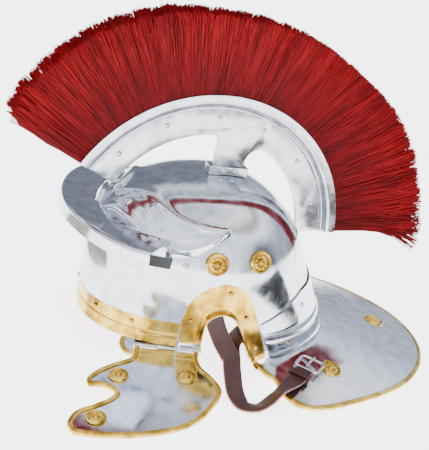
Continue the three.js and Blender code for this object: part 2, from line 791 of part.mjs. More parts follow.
function makeCrestPlate() {
  const outline = new THREE.Shape();
  const add = (p, first) => (first ? outline.moveTo(p[0], p[1]) : outline.lineTo(p[0], p[1]));
  const at = (angle, radius) => {
    const p = crestPlace(angle, radius);
    return [p.y, p.z];
  };
  for (let i = 0; i <= crestSteps; i += 1) {
    const angle = THREE.MathUtils.lerp(crestFrontAngle, crestRearAngle, i / crestSteps);
    add(at(angle, plateRadius), i === 0);
  }
  const windowStep = (crestFrontAngle - crestRearAngle) / crestSteps;
  const sideHeight = (back) => (
    crestCentreHeight + Math.sqrt(crestInnerRadius ** 2 - (back - crestCentreBack) ** 2)
  );
  const rearStart = Math.acos((postRear + postRearFillet - crestCentreBack) / crestInnerRadius);
  const frontStart = Math.acos((postFront - postFrontFillet - crestCentreBack) / crestInnerRadius);
  for (let angle = crestRearAngle; angle < rearStart; angle += windowStep) add(at(angle, crestInnerRadius));
  const fillet = (back, radius, side) => {
    const centre = [back + side * radius, sideHeight(back + side * radius) - radius];
    const turns = [0, 1, 2, 3, 4].map((k) => (k * Math.PI) / 8);
    const ring = turns.map((turn) => (
      [centre[0] - side * radius * Math.cos(turn), centre[1] + radius * Math.sin(turn)]
    ));
    return side > 0 ? ring.reverse() : ring;
  };
  fillet(postRear, postRearFillet, 1).forEach((p) => add(p));
  add([postRear, postFoot]);
  add([postFront, postFoot]);
  fillet(postFront, postFrontFillet, -1).forEach((p) => add(p));
  for (let angle = frontStart + windowStep; angle < crestFrontAngle; angle += windowStep) {
    add(at(angle, crestInnerRadius));
  }
  add(at(crestFrontAngle, crestInnerRadius));
  const plate = new THREE.ExtrudeGeometry(outline, { depth: crestPlate, bevelEnabled: false });
  return plate.rotateX(Math.PI / 2).rotateZ(Math.PI / 2).translate(-crestPlate / 2, 0, 0);
}
addPiece('crest_plate', makeCrestPlate(), steelLook);

// Rings of a section carried round the crest's arc
function crestRings(section) {
  return Array.from({ length: crestSteps + 1 }, (_, i) => {
    const angle = THREE.MathUtils.lerp(crestRearAngle, crestFrontAngle, i / crestSteps);
    return section.map(([radius, across]) => crestPlace(angle, radius, across));
  });
}

// Steel channel that holds the hair
const half = channelWidth / 2;
const channelFloor = crestRadius - channelDepth;
addPiece('crest_channel', loft(crestRings([
  [crestRadius, -half], [channelFloor, -half], [channelFloor, half], [crestRadius, half],
  [crestRadius, half - channelWall], [channelFloor + channelWall, half - channelWall],
  [channelFloor + channelWall, -half + channelWall], [crestRadius, -half + channelWall],
])), steelLook);

// Steel socket on the crown, slotted for the post
function makeCrestSocket() {
  const length = postRear - postFront + 8;
  const middle = (postRear + postFront) / 2;
  const block = new THREE.BoxGeometry(socketWidth, length, socketRise + 6);
  block.translate(0, middle, crownHeight + (socketRise - 6) / 2);
  const slot = new THREE.BoxGeometry(crestPlate + 2 * seat, postRear - postFront + 2 * seat, socketRise + 6);
  slot.translate(0, middle, crownHeight + seat + sheet + (socketRise + 6) / 2);
  const rings = [];
  const sides = 20;
  for (const level of [0.72, 0.8, 0.87, 0.93, 0.97]) {
    const at = (i) => offBowl((2 * Math.PI * i) / sides, level, 2 * seat);
    rings.push(Array.from({ length: sides }, (_, i) => at(i)));
  }
  const crown = loft(rings, null, V(0, 0, crownHeight + 2 * seat));
  return geometryOf(solid(block).subtract(solid(slot)).subtract(solid(crown)));
}
addPiece('crest_socket', makeCrestSocket(), steelLook);

// Hair: a backing in the channel with tapered locks joined to it
function makePlume() {
  const root = channelFloor + channelWall + seat;
  const inner = half - channelWall - seat;
  const backing = loft(crestRings([
    [root, -inner], [crestRadius + hairLength * 0.55, -inner * 1.2],
    [crestRadius + hairLength * 0.55, inner * 1.2], [root, inner],
  ]));
  const span = (crestFrontAngle - crestRearAngle) / lockCount;
  const locks = [];
  for (let i = 0; i < lockCount; i += 1) {
    const angle = crestRearAngle + span * (i + 0.5);
    const swell = Math.abs(i / (lockCount - 1) - 0.42) * 2;
    const wave = Math.sin(i * 2.4);
    const length = hairLength * (0.82 + 0.17 * Math.min(swell * swell * 1.6, 1) + 0.012 * wave);
    const lean = span * 0.16 * Math.sin(i * 1.7);
    const ring = (share, spread, width) => {
      const radius = crestRadius + length * share;
      const middle = angle + lean * share;
      const reach = span * spread;
      return [
        crestPlace(middle - reach, radius, -width), crestPlace(middle + reach, radius, -width),
        crestPlace(middle + reach, radius, width), crestPlace(middle - reach, radius, width),
      ];
    };
    const tip = hairTipWidth / 2;
    locks.push(loft([
      ring(0.01, 0.47, inner * 0.95), ring(0.45, 0.53, tip * 0.82 + 0.4 * wave),
      ring(0.85, 0.56, tip + 0.8 * wave), ring(1, 0.42, tip * 0.8),
    ]));
  }
  return join([backing, ...locks]);
}
addPiece('plume', makePlume(), hairLook);

// Brass rosette standing on a face, its middle at a place with a given normal
const rosetteProfile = [[0, 0], [1, 0], [1, 0.3], [0.76, 0.6], [0.5, 0.42], [0.24, 0.95], [0, 1]];

function makeRosette(place, normal, radius) {
  const outline = rosetteProfile.map(([r, h]) => new THREE.Vector2(r * radius, h * rosetteHeight));
  const disc = new THREE.LatheGeometry(outline, 8);
  disc.applyQuaternion(new THREE.Quaternion().setFromUnitVectors(V(0, 1, 0), normal));
  disc.translate(place.x, place.y, place.z);
  disc.deleteAttribute('normal');
  disc.deleteAttribute('uv');
  return mergeVertices(disc, 1e-4);
}

// Bowl rosettes: how far back as a share of the brow's reach, how high as a share of the crown,
// and how many seats off the bowl
const bowlRosettes = { front: [-0.248, 0.684, 2], rear: [0.085, 0.713, 1] };
for (const [name, [back, height, seats]] of Object.entries(bowlRosettes)) {
  const { level, turn } = sidePlace(back * bowlFrontReach, height * crownHeight);
  const place = offBowl(turn, level, seats * seat);
  const disc = makeRosette(place, bowlNormal(turn, level), rosetteRadius);
  addPair(`bowl_rosette_${name}`, disc, brassLook);
}

// Neck guard rosettes: place along the rim and share of the way in to the collar
const neckRosettes = { left: [0.2, 0.55], rear: [0.5, 0.36], right: [0.8, 0.55] };
for (const [name, [share, way]] of Object.entries(neckRosettes)) {
  const { rim, inward, normal } = neckStation(share);
  const { point } = neckBase(share);
  const start = rim.clone().addScaledVector(inward, edgingDepth / 2).addScaledVector(normal, sheet / 2);
  const place = start.lerp(point.clone().add(V(0, 0, 1)), way).addScaledVector(normal, 2 * seat);
  addPiece(`neck_rosette_${name}`, makeRosette(place, normal, rosetteRadius), brassLook);
}

// Cheek rosettes: along the hinge and out from it, as shares of the guard's size
const cheekRosettes = { upper: [-0.32, 0.4], rear: [0.14, 0.35], lower: [-0.43, 0.84] };

function makeCheekRosette([along, out]) {
  const [x, y] = [along * cheekWidth, out * cheekLength];
  const normal = cheekPlace(x, y, 1).sub(cheekPlace(x, y, 0));
  const place = cheekPlace(x, y, cheekRise(x, y) + sheet / 2 + 3 * seat);
  return makeRosette(place, normal, cheekRosetteRadius);
}

// All that swings with the left cheek guard
const swinging = [
  ['cheek_guard', makeCheekGuard(), steelLook],
  ['cheek_edging', makeEdging(cheekEdgingPlaces), brassLook],
  ['hinge_cheek_leaf', makeCheekLeaf(), steelLook],
  ...Object.entries(cheekRosettes).map(([name, spot]) => (
    [`cheek_rosette_${name}`, makeCheekRosette(spot), brassLook]
  )),
];

// The right one is the mirror image, folded in until the lowest place of it meets the table
const foldAxis = V(hingeDirection.x, -hingeDirection.y, -hingeDirection.z);
const foldCentre = V(-hingeCentre.x, hingeCentre.y, hingeCentre.z);
const folded = (p, angle) => p.clone().sub(foldCentre).applyAxisAngle(foldAxis, angle).add(foldCentre);

function lowestFolded(angle) {
  let lowest = Infinity;
  for (const [, geometry] of swinging) {
    const places = geometry.attributes.position;
    for (let i = 0; i < places.count; i += 1) {
      const p = V(-places.getX(i), places.getY(i), places.getZ(i));
      lowest = Math.min(lowest, folded(p, angle).z);
    }
  }
  return lowest;
}
let leastFold = Math.PI / 2;
let mostFold = Math.PI;
for (let i = 0; i < 24; i += 1) {
  const angle = (leastFold + mostFold) / 2;
  if (lowestFolded(angle) < 0) leastFold = angle;
  else mostFold = angle;
}
for (const [name, geometry, look] of swinging) {
  addPiece(`${name}_left`, geometry, look);
  addPiece(`${name}_right`, carried(mirrored(geometry), (p) => folded(p, mostFold)), look);
}

// Leather strap through chosen places: each gives the middle and the way the strap is wide
function makeRibbon(stops, steps, width) {
  const middle = new THREE.CatmullRomCurve3(stops.map(([p]) => p), false, 'centripetal');
  const wide = new THREE.CatmullRomCurve3(stops.map(([, w]) => w), false, 'centripetal');
  const rings = [];
  for (let i = 0; i <= steps; i += 1) {
    const share = i / steps;
    const centre = middle.getPoint(share);
    const step = middle.getTangent(share);
    const side = wide.getPoint(share);
    side.addScaledVector(step, -side.dot(step)).normalize();
    const thick = step.clone().cross(side).normalize();
    const corner = (a, b) => centre.clone().addScaledVector(side, (a * width) / 2)
      .addScaledVector(thick, (b * leather) / 2);
    rings.push([corner(-1, -1), corner(1, -1), corner(1, 1), corner(-1, 1)]);
  }
  return loft(rings);
}

// Two branches from inside the bowl meet, reach the table and run back over the neck guard
const floorLine = leather / 2 + 0.5;

// Height at which the strap lies on the neck guard's skirt over a place of the plan
function overSkirt(across, back) {
  let best = { gap: Infinity, z: 0 };
  const here = V(across, back, 0);
  const near = V(0, 0, 0);
  for (let i = 0; i <= 200; i += 1) {
    const { rim } = neckStation(i / 200);
    const { point } = neckBase(i / 200);
    const line = new THREE.Line3(rim.clone().setZ(0), point.clone().setZ(0));
    const way = line.closestPointToPointParameter(here, true);
    const gap = line.at(way, near).distanceTo(here);
    if (gap < best.gap) best = { gap, z: THREE.MathUtils.lerp(rim.z + edgingHeight / 2, point.z + 1, way) };
  }
  return best.z + seat + leather / 2;
}
const fork = [V(110, -1, 27), V(0.15, 0.98, 0)];
const strapRoutes = {
  front: [
    [V(89.5, -24, 84), V(0.1, 0.99, -0.1)],
    [V(90, -21, 64), V(0.1, 0.98, 0.2)],
    [V(97, -12, 44), V(0.12, 0.95, 0.25)],
    fork,
  ],
  rear: [
    [V(90, 20, 66), V(-0.12, 0.9, -0.3)],
    [V(91, 13, 50), V(0.05, 0.8, -0.55)],
    [V(94, 4, 38), V(0.1, 0.85, -0.4)],
    fork,
  ],
  main: [
    [V(108, -1, 29), V(0.15, 0.98, 0)],
    [V(121, -2, 18), V(0.15, 0.98, 0)],
    [V(136, -2, 7), V(0.1, 0.99, 0)],
    [V(149, 2, floorLine + 0.5), V(-0.3, 0.95, 0)],
    [V(154, 14, floorLine), V(-0.85, 0.5, 0)],
    [V(151, 25, floorLine + 2), V(-0.9, -0.4, 0)],
    [V(146, 37, overSkirt(146, 46) + 1), V(-0.85, -0.5, 0)],
    [V(137, 50, overSkirt(137, 50) + 1.5), V(-0.8, -0.6, 0)],
    [V(126, 64, overSkirt(126, 64) + 3.4), V(-0.78, -0.62, 0)],
    [V(113, 79, overSkirt(113, 79) + 3.4), V(-0.76, -0.65, 0)],
  ],
};
const strapSteps = { front: 8, rear: 8, main: 26 };
const strapPieces = Object.entries(strapRoutes).map(([name, stops]) => (
  makeRibbon(stops, strapSteps[name], strapWidth)
));
addPair('chin_strap', join(strapPieces), leatherLook);

// Steel buckle at the end of the left strap
const tailEnd = strapRoutes.main[strapRoutes.main.length - 1][0];
const tailBefore = strapRoutes.main[strapRoutes.main.length - 2][0];
const tailWay = tailEnd.clone().sub(tailBefore).normalize();
const tailSide = strapRoutes.main[strapRoutes.main.length - 1][1].clone().normalize();
const buckleUp = tailWay.clone().cross(tailSide).normalize();
if (buckleUp.z < 0) buckleUp.negate();

function bucklePlace(along, aside, up) {
  return tailEnd.clone().addScaledVector(tailWay, along)
    .addScaledVector(tailSide, aside).addScaledVector(buckleUp, up);
}

function buckleBar(from, to, size) {
  const way = to.clone().sub(from).normalize();
  const side = way.clone().cross(buckleUp).normalize();
  const ring = (p) => [[-1, -1], [1, -1], [1, 1], [-1, 1]].map(([a, b]) => (
    p.clone().addScaledVector(side, (a * size) / 2).addScaledVector(buckleUp, (b * size) / 2)
  ));
  const start = from.clone().addScaledVector(way, -size / 2);
  const end = to.clone().addScaledVector(way, size / 2);
  return loft([ring(start), ring(end)]);
}

const buckleNear = seat + buckleWire / 2;
const buckleFar = buckleNear + buckleLength - buckleWire;
const buckleSide = (buckleWidth - buckleWire) / 2;
const buckleCorners = [
  bucklePlace(buckleNear, -buckleSide, 0), bucklePlace(buckleFar, -buckleSide, 0),
  bucklePlace(buckleFar, buckleSide, 0), bucklePlace(buckleNear, buckleSide, 0),
];
addPiece('buckle_frame', join(buckleCorners.map((corner, i) => (
  buckleBar(corner, buckleCorners[(i + 1) % buckleCorners.length], buckleWire)
))), steelLook);
const prongLift = buckleWire + seat;
addPiece('buckle_prong', buckleBar(
  bucklePlace(buckleNear, 0, prongLift),
  bucklePlace(buckleFar, 0, prongLift),
  buckleWire * 0.9,
), steelLook);

// Leather keeper round the strap before the buckle
function makeKeeper() {
  const wide = strapWidth / 2 + 2 * seat;
  const thick = leather / 2 + 2 * seat;
  const wall = 1.6;
  const back = -16;
  const tube = (past, x, y) => loft([back - past, back + keeperWidth + past].map((along) => (
    [[-1, -1], [1, -1], [1, 1], [-1, 1]].map(([a, b]) => bucklePlace(along, a * x, b * y))
  )));
  return geometryOf(solid(tube(0, wide + wall, thick + wall)).subtract(solid(tube(1, wide, thick))));
}
addPiece('strap_keeper', makeKeeper(), leatherLook);

// The table lies at z 0 and the middle of the whole plan at the origin
const bounds = new THREE.Box3().setFromObject(helmet);
const middle = bounds.getCenter(V(0, 0, 0));
helmet.position.set(-middle.x, -middle.y, -bounds.min.z);
const group = new THREE.Group();
group.add(helmet);

export default group;
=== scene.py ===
import math

import bmesh
import bpy
import numpy as np
from mathutils import Matrix, Vector


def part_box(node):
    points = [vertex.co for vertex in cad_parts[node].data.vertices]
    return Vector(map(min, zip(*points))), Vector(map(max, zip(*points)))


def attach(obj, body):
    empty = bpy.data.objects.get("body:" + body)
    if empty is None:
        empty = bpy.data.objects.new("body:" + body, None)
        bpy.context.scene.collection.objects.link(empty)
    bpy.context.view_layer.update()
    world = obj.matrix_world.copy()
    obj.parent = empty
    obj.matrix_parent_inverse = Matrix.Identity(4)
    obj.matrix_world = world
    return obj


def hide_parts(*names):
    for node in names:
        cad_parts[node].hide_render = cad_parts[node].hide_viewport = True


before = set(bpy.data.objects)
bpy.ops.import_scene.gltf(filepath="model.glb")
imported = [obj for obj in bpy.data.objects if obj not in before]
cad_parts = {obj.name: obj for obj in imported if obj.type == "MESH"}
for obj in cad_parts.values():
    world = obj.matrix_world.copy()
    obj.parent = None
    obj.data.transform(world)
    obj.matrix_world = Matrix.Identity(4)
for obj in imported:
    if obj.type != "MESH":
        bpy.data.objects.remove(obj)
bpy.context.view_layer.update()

seat = 0.3  # mm between neighbouring pieces
sheetWall = 1.2  # mm, steel and brass sheet alike


# colour and nodes

def hexColour(text):  # sRGB hex to the linear values a shader takes
    parts = [int(text[i:i + 2], 16) / 255 for i in (1, 3, 5)]
    return tuple(p / 12.92 if p <= 0.04045 else ((p + 0.055) / 1.055) ** 2.4 for p in parts) + (1.0,)


def addNode(tree, kind, settings=None, links=None):  # capitals and numbers are sockets, the rest properties
    node = tree.nodes.new(kind)
    for name, value in (settings or {}).items():
        if name == "stops":  # places and colours of a ramp
            ramp = node.color_ramp.elements
            while len(ramp) < len(value):
                ramp.new(0.5)
            for element, (place, colour) in zip(ramp, value):
                element.position = place
                element.color = hexColour(colour)
        elif isinstance(name, int) or name[0].isupper():
            node.inputs[name].default_value = value
        else:
            setattr(node, name, value)
    for name, source in (links or {}).items():
        tree.links.new(source, node.inputs[name])
    return node


def newMaterial(name):
    material = bpy.data.materials.new(name)
    material.use_nodes = True
    tree = material.node_tree
    return material, tree, tree.nodes["Principled BSDF"]


# mild steel sheet, raised and buffed: a mirror with a slow waver from the hammer and hairline scratches
def makeSteel(name, light, shade, smoothest, roughest):
    material, tree, shader = newMaterial(name)
    place = addNode(tree, "ShaderNodeTexCoord").outputs["Object"]
    waves = addNode(tree, "ShaderNodeTexNoise", {"Scale": 1 / 0.035, "Detail": 2.0}, {"Vector": place})
    smears = addNode(tree, "ShaderNodeTexNoise", {"Scale": 1 / 0.012, "Detail": 6.0}, {"Vector": place})
    stretch = addNode(tree, "ShaderNodeMapping", {"Scale": (1.0, 1.0, 9.0)}, {"Vector": place})
    scratches = addNode(tree, "ShaderNodeTexNoise", {"Scale": 1 / 0.0022, "Detail": 3.0},
                        {"Vector": stretch.outputs[0]})
    tint = addNode(tree, "ShaderNodeValToRGB", {"stops": [(0.3, shade), (0.62, light)]}, {"Fac": smears.outputs["Fac"]})
    tree.links.new(tint.outputs["Color"], shader.inputs["Base Color"])
    rough = addNode(tree, "ShaderNodeMapRange",
                    {"From Min": 0.35, "From Max": 0.7, "To Min": smoothest, "To Max": roughest},
                    {"Value": smears.outputs["Fac"]})
    tree.links.new(rough.outputs[0], shader.inputs["Roughness"])
    wide = addNode(tree, "ShaderNodeBump", {"Strength": 0.1, "Distance": 0.002}, {"Height": waves.outputs["Fac"]})
    fine = addNode(tree, "ShaderNodeBump", {"Strength": 0.03, "Distance": 0.0004},
                   {"Height": scratches.outputs["Fac"], "Normal": wide.outputs[0]})
    tree.links.new(fine.outputs[0], shader.inputs["Normal"])
    shader.inputs["Metallic"].default_value = 1.0
    return material


# yellow brass sheet, buffed once and tarnishing again: brown in the low places, bright on the edges
def makeBrass(name):
    material, tree, shader = newMaterial(name)
    place = addNode(tree, "ShaderNodeTexCoord").outputs["Object"]
    patches = addNode(tree, "ShaderNodeTexNoise", {"Scale": 1 / 0.016, "Detail": 5.0}, {"Vector": place})
    dents = addNode(tree, "ShaderNodeTexNoise", {"Scale": 1 / 0.009, "Detail": 2.0}, {"Vector": place})
    tint = addNode(tree, "ShaderNodeValToRGB", {"stops": [(0.28, "#84601C"), (0.43, "#BE9636"), (0.62, "#E8C45C")]},
                   {"Fac": patches.outputs["Fac"]})
    tree.links.new(tint.outputs["Color"], shader.inputs["Base Color"])
    rough = addNode(tree, "ShaderNodeMapRange", {"From Min": 0.3, "From Max": 0.7, "To Min": 0.3, "To Max": 0.14},
                    {"Value": patches.outputs["Fac"]})
    tree.links.new(rough.outputs[0], shader.inputs["Roughness"])
    bump = addNode(tree, "ShaderNodeBump", {"Strength": 0.12, "Distance": 0.0015}, {"Height": dents.outputs["Fac"]})
    tree.links.new(bump.outputs[0], shader.inputs["Normal"])
    shader.inputs["Metallic"].default_value = 1.0
    return material


# dyed horsehair, cut and bound: fine radial streaks, darker at the root and brighter at the cut ends
def makeHair(name, root, body, tip):
    material, tree, shader = newMaterial(name)
    place = addNode(tree, "ShaderNodeTexCoord").outputs["Object"]
    parts = addNode(tree, "ShaderNodeSeparateXYZ", links={"Vector": place})
    centre = crestCentre()
    across, along, up = (
        addNode(tree, "ShaderNodeMath", {"operation": "SUBTRACT", 1: middle}, {0: parts.outputs[axis]}).outputs[0]
        for axis, middle in zip("XYZ", centre))
    turn = addNode(tree, "ShaderNodeMath", {"operation": "ARCTAN2"}, {0: up, 1: along})
    flat = addNode(tree, "ShaderNodeCombineXYZ", links={"X": along, "Y": up})
    reach = addNode(tree, "ShaderNodeVectorMath", {"operation": "LENGTH"}, {0: flat.outputs[0]})
    fan = addNode(tree, "ShaderNodeCombineXYZ", links={"X": turn.outputs[0], "Y": reach.outputs["Value"], "Z": across})
    narrow = addNode(tree, "ShaderNodeMapping", {"Scale": (0.24, 0.06, 0.5)}, {"Vector": fan.outputs[0]})
    # strands 0.3 mm thick don't show at this size, so a streak is 2 mm wide
    streaks = addNode(tree, "ShaderNodeTexNoise", {"Scale": 1 / 0.002, "Detail": 3.0}, {"Vector": narrow.outputs[0]})
    locks = addNode(tree, "ShaderNodeTexNoise", {"Scale": 1 / 0.009, "Detail": 2.0}, {"Vector": narrow.outputs[0]})
    grade = addNode(tree, "ShaderNodeMapRange", {"From Min": 0.15, "From Max": 0.25}, {"Value": reach.outputs["Value"]})
    base = addNode(tree, "ShaderNodeValToRGB", {"stops": [(0.0, root), (0.35, body), (0.9, tip)]},
                   {"Fac": grade.outputs[0]})
    colour = base.outputs["Color"]
    for source, stops, share in ((streaks, [(0.36, "#8A4044"), (0.56, "#FFFFFF")], 0.6),
                                 (locks, [(0.36, "#B89A9A"), (0.6, "#FFFFFF")], 0.7)):
        shade = addNode(tree, "ShaderNodeValToRGB", {"stops": stops}, {"Fac": source.outputs["Fac"]})
        colour = addNode(tree, "ShaderNodeMix", {"data_type": "RGBA", "blend_type": "MULTIPLY", 0: share},
                         {6: colour, 7: shade.outputs["Color"]}).outputs[2]
    tree.links.new(colour, shader.inputs["Base Color"])
    bump = addNode(tree, "ShaderNodeBump", {"Strength": 0.5, "Distance": 0.001}, {"Height": streaks.outputs["Fac"]})
    tree.links.new(bump.outputs[0], shader.inputs["Normal"])
    shader.inputs["Roughness"].default_value = 0.75
    shader.inputs["Specular IOR Level"].default_value = 0.2
    return material


# vegetable-tanned leather, dyed red-brown and waxed: a soft shine over pebbled grain
def makeLeather(name, light, dark, roughness, grain):
    material, tree, shader = newMaterial(name)
    place = addNode(tree, "ShaderNodeTexCoord").outputs["Object"]
    stain = addNode(tree, "ShaderNodeTexNoise", {"Scale": 1 / 0.011, "Detail": 4.0}, {"Vector": place})
    pebbles = addNode(tree, "ShaderNodeTexVoronoi", {"Scale": 1 / grain}, {"Vector": place})
    tint = addNode(tree, "ShaderNodeValToRGB", {"stops": [(0.3, dark), (0.68, light)]}, {"Fac": stain.outputs["Fac"]})
    tree.links.new(tint.outputs["Color"], shader.inputs["Base Color"])
    bump = addNode(tree, "ShaderNodeBump", {"Strength": 0.25, "Distance": 0.0003},
                   {"Height": pebbles.outputs["Distance"]})
    tree.links.new(bump.outputs[0], shader.inputs["Normal"])
    shader.inputs["Roughness"].default_value = roughness
    return material


# surfaces as arrays of points in millimetres, x to the wearer's left, y back, z up

def curveThrough(a, b, c, d, t):  # Catmull-Rom from b to c
    return b + 0.5 * ((c - a) * t + (2 * a - 5 * b + 4 * c - d) * t ** 2 + (3 * b - a - 3 * c + d) * t ** 3)


def smoothRows(rows, at):  # a curve through rows, at fractional row numbers
    rows = np.asarray(rows, float)
    last = len(rows) - 1
    at = np.clip(np.asarray(at, float), 0, last)
    i = np.minimum(at.astype(int), last - 1)
    t = (at - i).reshape((-1,) + (1,) * (rows.ndim - 1))
    a, b, c, d = (rows[np.clip(i + k, 0, last)] for k in (-1, 0, 1, 2))
    return curveThrough(a, b, c, d, t)


def smoothLine(stops, dense=40):  # centripetal curve, the same number of points in each span
    stops = np.asarray(stops, float)
    padded = np.vstack([2 * stops[0] - stops[1], stops, 2 * stops[-1] - stops[-2]])
    spans = []
    t = np.linspace(0, 1, dense, endpoint=False)[:, None]
    for i in range(len(stops) - 1):
        p, q, r, s = padded[i:i + 4]
        d, e, f = (max(np.linalg.norm(b - a) ** 0.5, 1e-6) for a, b in ((p, q), (q, r), (r, s)))
        start = ((q - p) / d - (r - p) / (d + e) + (r - q) / e) * e
        end = ((r - q) / e - (s - q) / (e + f) + (s - r) / f) * e
        spans.append((2 * t ** 3 - 3 * t ** 2 + 1) * q + (t ** 3 - 2 * t ** 2 + t) * start
                     + (3 * t ** 2 - 2 * t ** 3) * r + (t ** 3 - t ** 2) * end)
    return np.vstack(spans + [stops[-1:]])


def alongLine(line, shares):  # points at shares of a line's length
    lengths = np.concatenate([[0], np.cumsum(np.linalg.norm(np.diff(line, axis=0), axis=1))])
    return np.stack([np.interp(np.asarray(shares) * lengths[-1], lengths, line[:, k]) for k in range(line.shape[1])], 1)


def unit(v):
    return v / np.linalg.norm(v, axis=-1, keepdims=True)


def dot(a, b):
    return np.sum(a * b, axis=-1, keepdims=True)


def squared(wave, power):  # draws a circle's wave towards a square one
    return np.sign(wave) * np.abs(wave) ** power


def nearestOn(line, points):  # nearest places on a line in the plane, and how far they are
    starts, steps = line[:-1], np.diff(line, axis=0)
    gap = points[:, None, :] - starts[None]
    t = np.clip(np.sum(gap * steps, 2) / np.maximum(np.sum(steps ** 2, 1), 1e-12), 0, 1)
    spots = starts[None] + t[..., None] * steps[None]
    far = np.linalg.norm(points[:, None, :] - spots, axis=2)
    pick = np.argmin(far, 1)
    rows = np.arange(len(points))
    return spots[rows, pick], far[rows, pick]


def insideOf(line, points):  # even-odd test against a closed outline
    x, y = points[:, :1], points[:, 1:]
    a, b = line, np.roll(line, -1, 0)
    crosses = (a[:, 1] > y) != (b[:, 1] > y)
    slope = (b[:, 0] - a[:, 0]) / np.where(np.abs(b[:, 1] - a[:, 1]) < 1e-9, 1e-9, b[:, 1] - a[:, 1])
    return np.sum(crosses & (x < a[:, 0] + (y - a[:, 1]) * slope), 1) % 2 == 1


# the bowl's surface

bowlSet = {
    "crownHeight": 174, "halfWidth": 99, "frontReach": 129, "napeReach": 134, "wall": 1.4,
    "browEdge": 36, "browSlope": 0.12, "earFoot": 12, "napeEdge": 25, "earLength": 100,
    "columns": 440, "rows": 96,
}
bowlRows = np.array([  # height, front, nape and width as shares
    [0.046, 0.93, 1, 0.95], [0.172, 0.95, 0.97, 0.98], [0.345, 0.98, 0.888, 1], [0.563, 1, 0.739, 0.99],
    [0.678, 0.984, 0.66, 0.955], [0.764, 0.938, 0.592, 0.9], [0.845, 0.845, 0.5, 0.805], [0.914, 0.69, 0.39, 0.67],
    [0.96, 0.512, 0.275, 0.51], [0.989, 0.279, 0.145, 0.285], [1, 0, 0, 0],
]) * [bowlSet["crownHeight"], bowlSet["frontReach"], bowlSet["napeReach"], bowlSet["halfWidth"]]
bowlLevels = np.linspace(0, 1, 1601)
bowlCurve = smoothRows(bowlRows, bowlLevels * (len(bowlRows) - 1))

# embossing: turn from the brow in degrees and share of the crown height, then rise and half width in mm
brows = [
    ([(5, 0.75), (10, 0.785), (16, 0.797), (24, 0.79), (34, 0.76), (44, 0.727), (53, 0.716), (61, 0.725), (69, 0.77),
      (77, 0.84)], 3.0, 2.5),
    ([(3, 0.855), (11, 0.883), (21, 0.898), (31, 0.892), (41, 0.873), (52, 0.85), (64, 0.84), (77, 0.84)], 3.0, 2.6),
    ([(12, 0.862), (22, 0.872), (32, 0.866), (42, 0.846), (52, 0.822), (62, 0.812)], 1.1, 1.9),
    ([(9, 0.757), (16, 0.766), (24, 0.76), (34, 0.73), (44, 0.697), (52, 0.69)], 0.9, 2.0),
    ([(13, 0.852), (21, 0.857), (30, 0.845), (37, 0.822), (41, 0.8)], 1.2, 2.2),
    ([(34, 0.868), (41, 0.85), (46, 0.826)], 1.0, 1.8),
    ([(58, 0.775), (66, 0.795), (73, 0.82)], 0.9, 2.0),
    ([(10, 0.832), (18, 0.84)], 0.9, 2.4),
    ([(9, 0.81), (24, 0.835), (36, 0.81), (48, 0.785), (62, 0.79)], 1.4, 11.0),
]
dimple = ([(38.5, 0.806), (45, 0.782)], -1.5, 3.0)


def bowlSection(level):
    return [np.interp(level, bowlLevels, bowlCurve[:, k]) for k in range(4)]


def levelAt(height):
    return np.interp(height, bowlCurve[:, 0], bowlLevels)


def bowlBase(turn, level):
    height, front, nape, width = bowlSection(level)
    reach = np.where(np.cos(turn) > 0, front, nape)
    return np.stack([width * np.sin(turn), -reach * np.cos(turn), height + 0 * turn], -1)


def bowlNormal(turn, level):
    step = 0.004
    level = np.clip(level, step, 1 - step)
    around = bowlBase(turn + step, level) - bowlBase(turn - step, level)
    upward = bowlBase(turn, level + step) - bowlBase(turn, level - step)
    return unit(np.cross(around, upward))


def strokeRise(stroke, here):
    stops, rise, width = stroke
    line = smoothLine(np.radians([[turn, 0] for turn, _ in stops]) * bowlSet["halfWidth"]
                      + np.array([[0, share * bowlSet["crownHeight"]] for _, share in stops]), 6)
    _, gap = nearestOn(line, here)
    return rise * np.exp(-(gap / width) ** 2)


def reliefAt(turn, height):
    here = np.stack([np.abs(turn).ravel() * bowlSet["halfWidth"], (height + 0 * turn).ravel()], 1)
    total = np.zeros(len(here))
    near = np.flatnonzero((here[:, 0] < 175) & (here[:, 1] > 105) & (here[:, 1] < 168))
    if len(near):
        ridges = np.maximum(*[strokeRise(stroke, here[near]) for stroke in brows[:2]])
        total[near] = ridges + sum(strokeRise(stroke, here[near]) for stroke in brows[2:] + [dimple])
    return total.reshape(np.shape(turn + height))


def offBowl(turn, level, distance, embossed=True):
    turn, level, distance = np.broadcast_arrays(*(np.asarray(v, float) for v in (turn, level, distance)))
    base = bowlBase(turn, level)
    rise = reliefAt(turn, base[..., 2]) if embossed else 0
    return base + bowlNormal(turn, level) * (distance + rise)[..., None]


def sidePlace(back, height):
    level = levelAt(height)
    _, front, nape, _ = bowlSection(level)
    reach = np.where(np.asarray(back) < 0, front, nape)
    return np.arccos(np.clip(-back / reach, -1, 1)), level


def browEdge(back):
    return bowlSet["browEdge"] + bowlSet["browSlope"] * back


def napeEdge(back):
    return bowlSet["earFoot"] + (bowlSet["napeEdge"] - bowlSet["earFoot"]) * (back / bowlSet["napeReach"])


def bowlEdge(turn):
    reach = np.where(np.cos(turn) > 0, bowlSet["frontReach"], bowlSet["napeReach"])
    back = -reach * np.cos(turn)
    change = np.clip((back / bowlSet["earLength"] + 0.3) / 0.45, 0, 1)
    change = change * change * (3 - 2 * change)
    return browEdge(back) * (1 - change) + napeEdge(np.maximum(back, 0)) * change


# the crest's own circle, and the shift from the making frame to the frame of the row

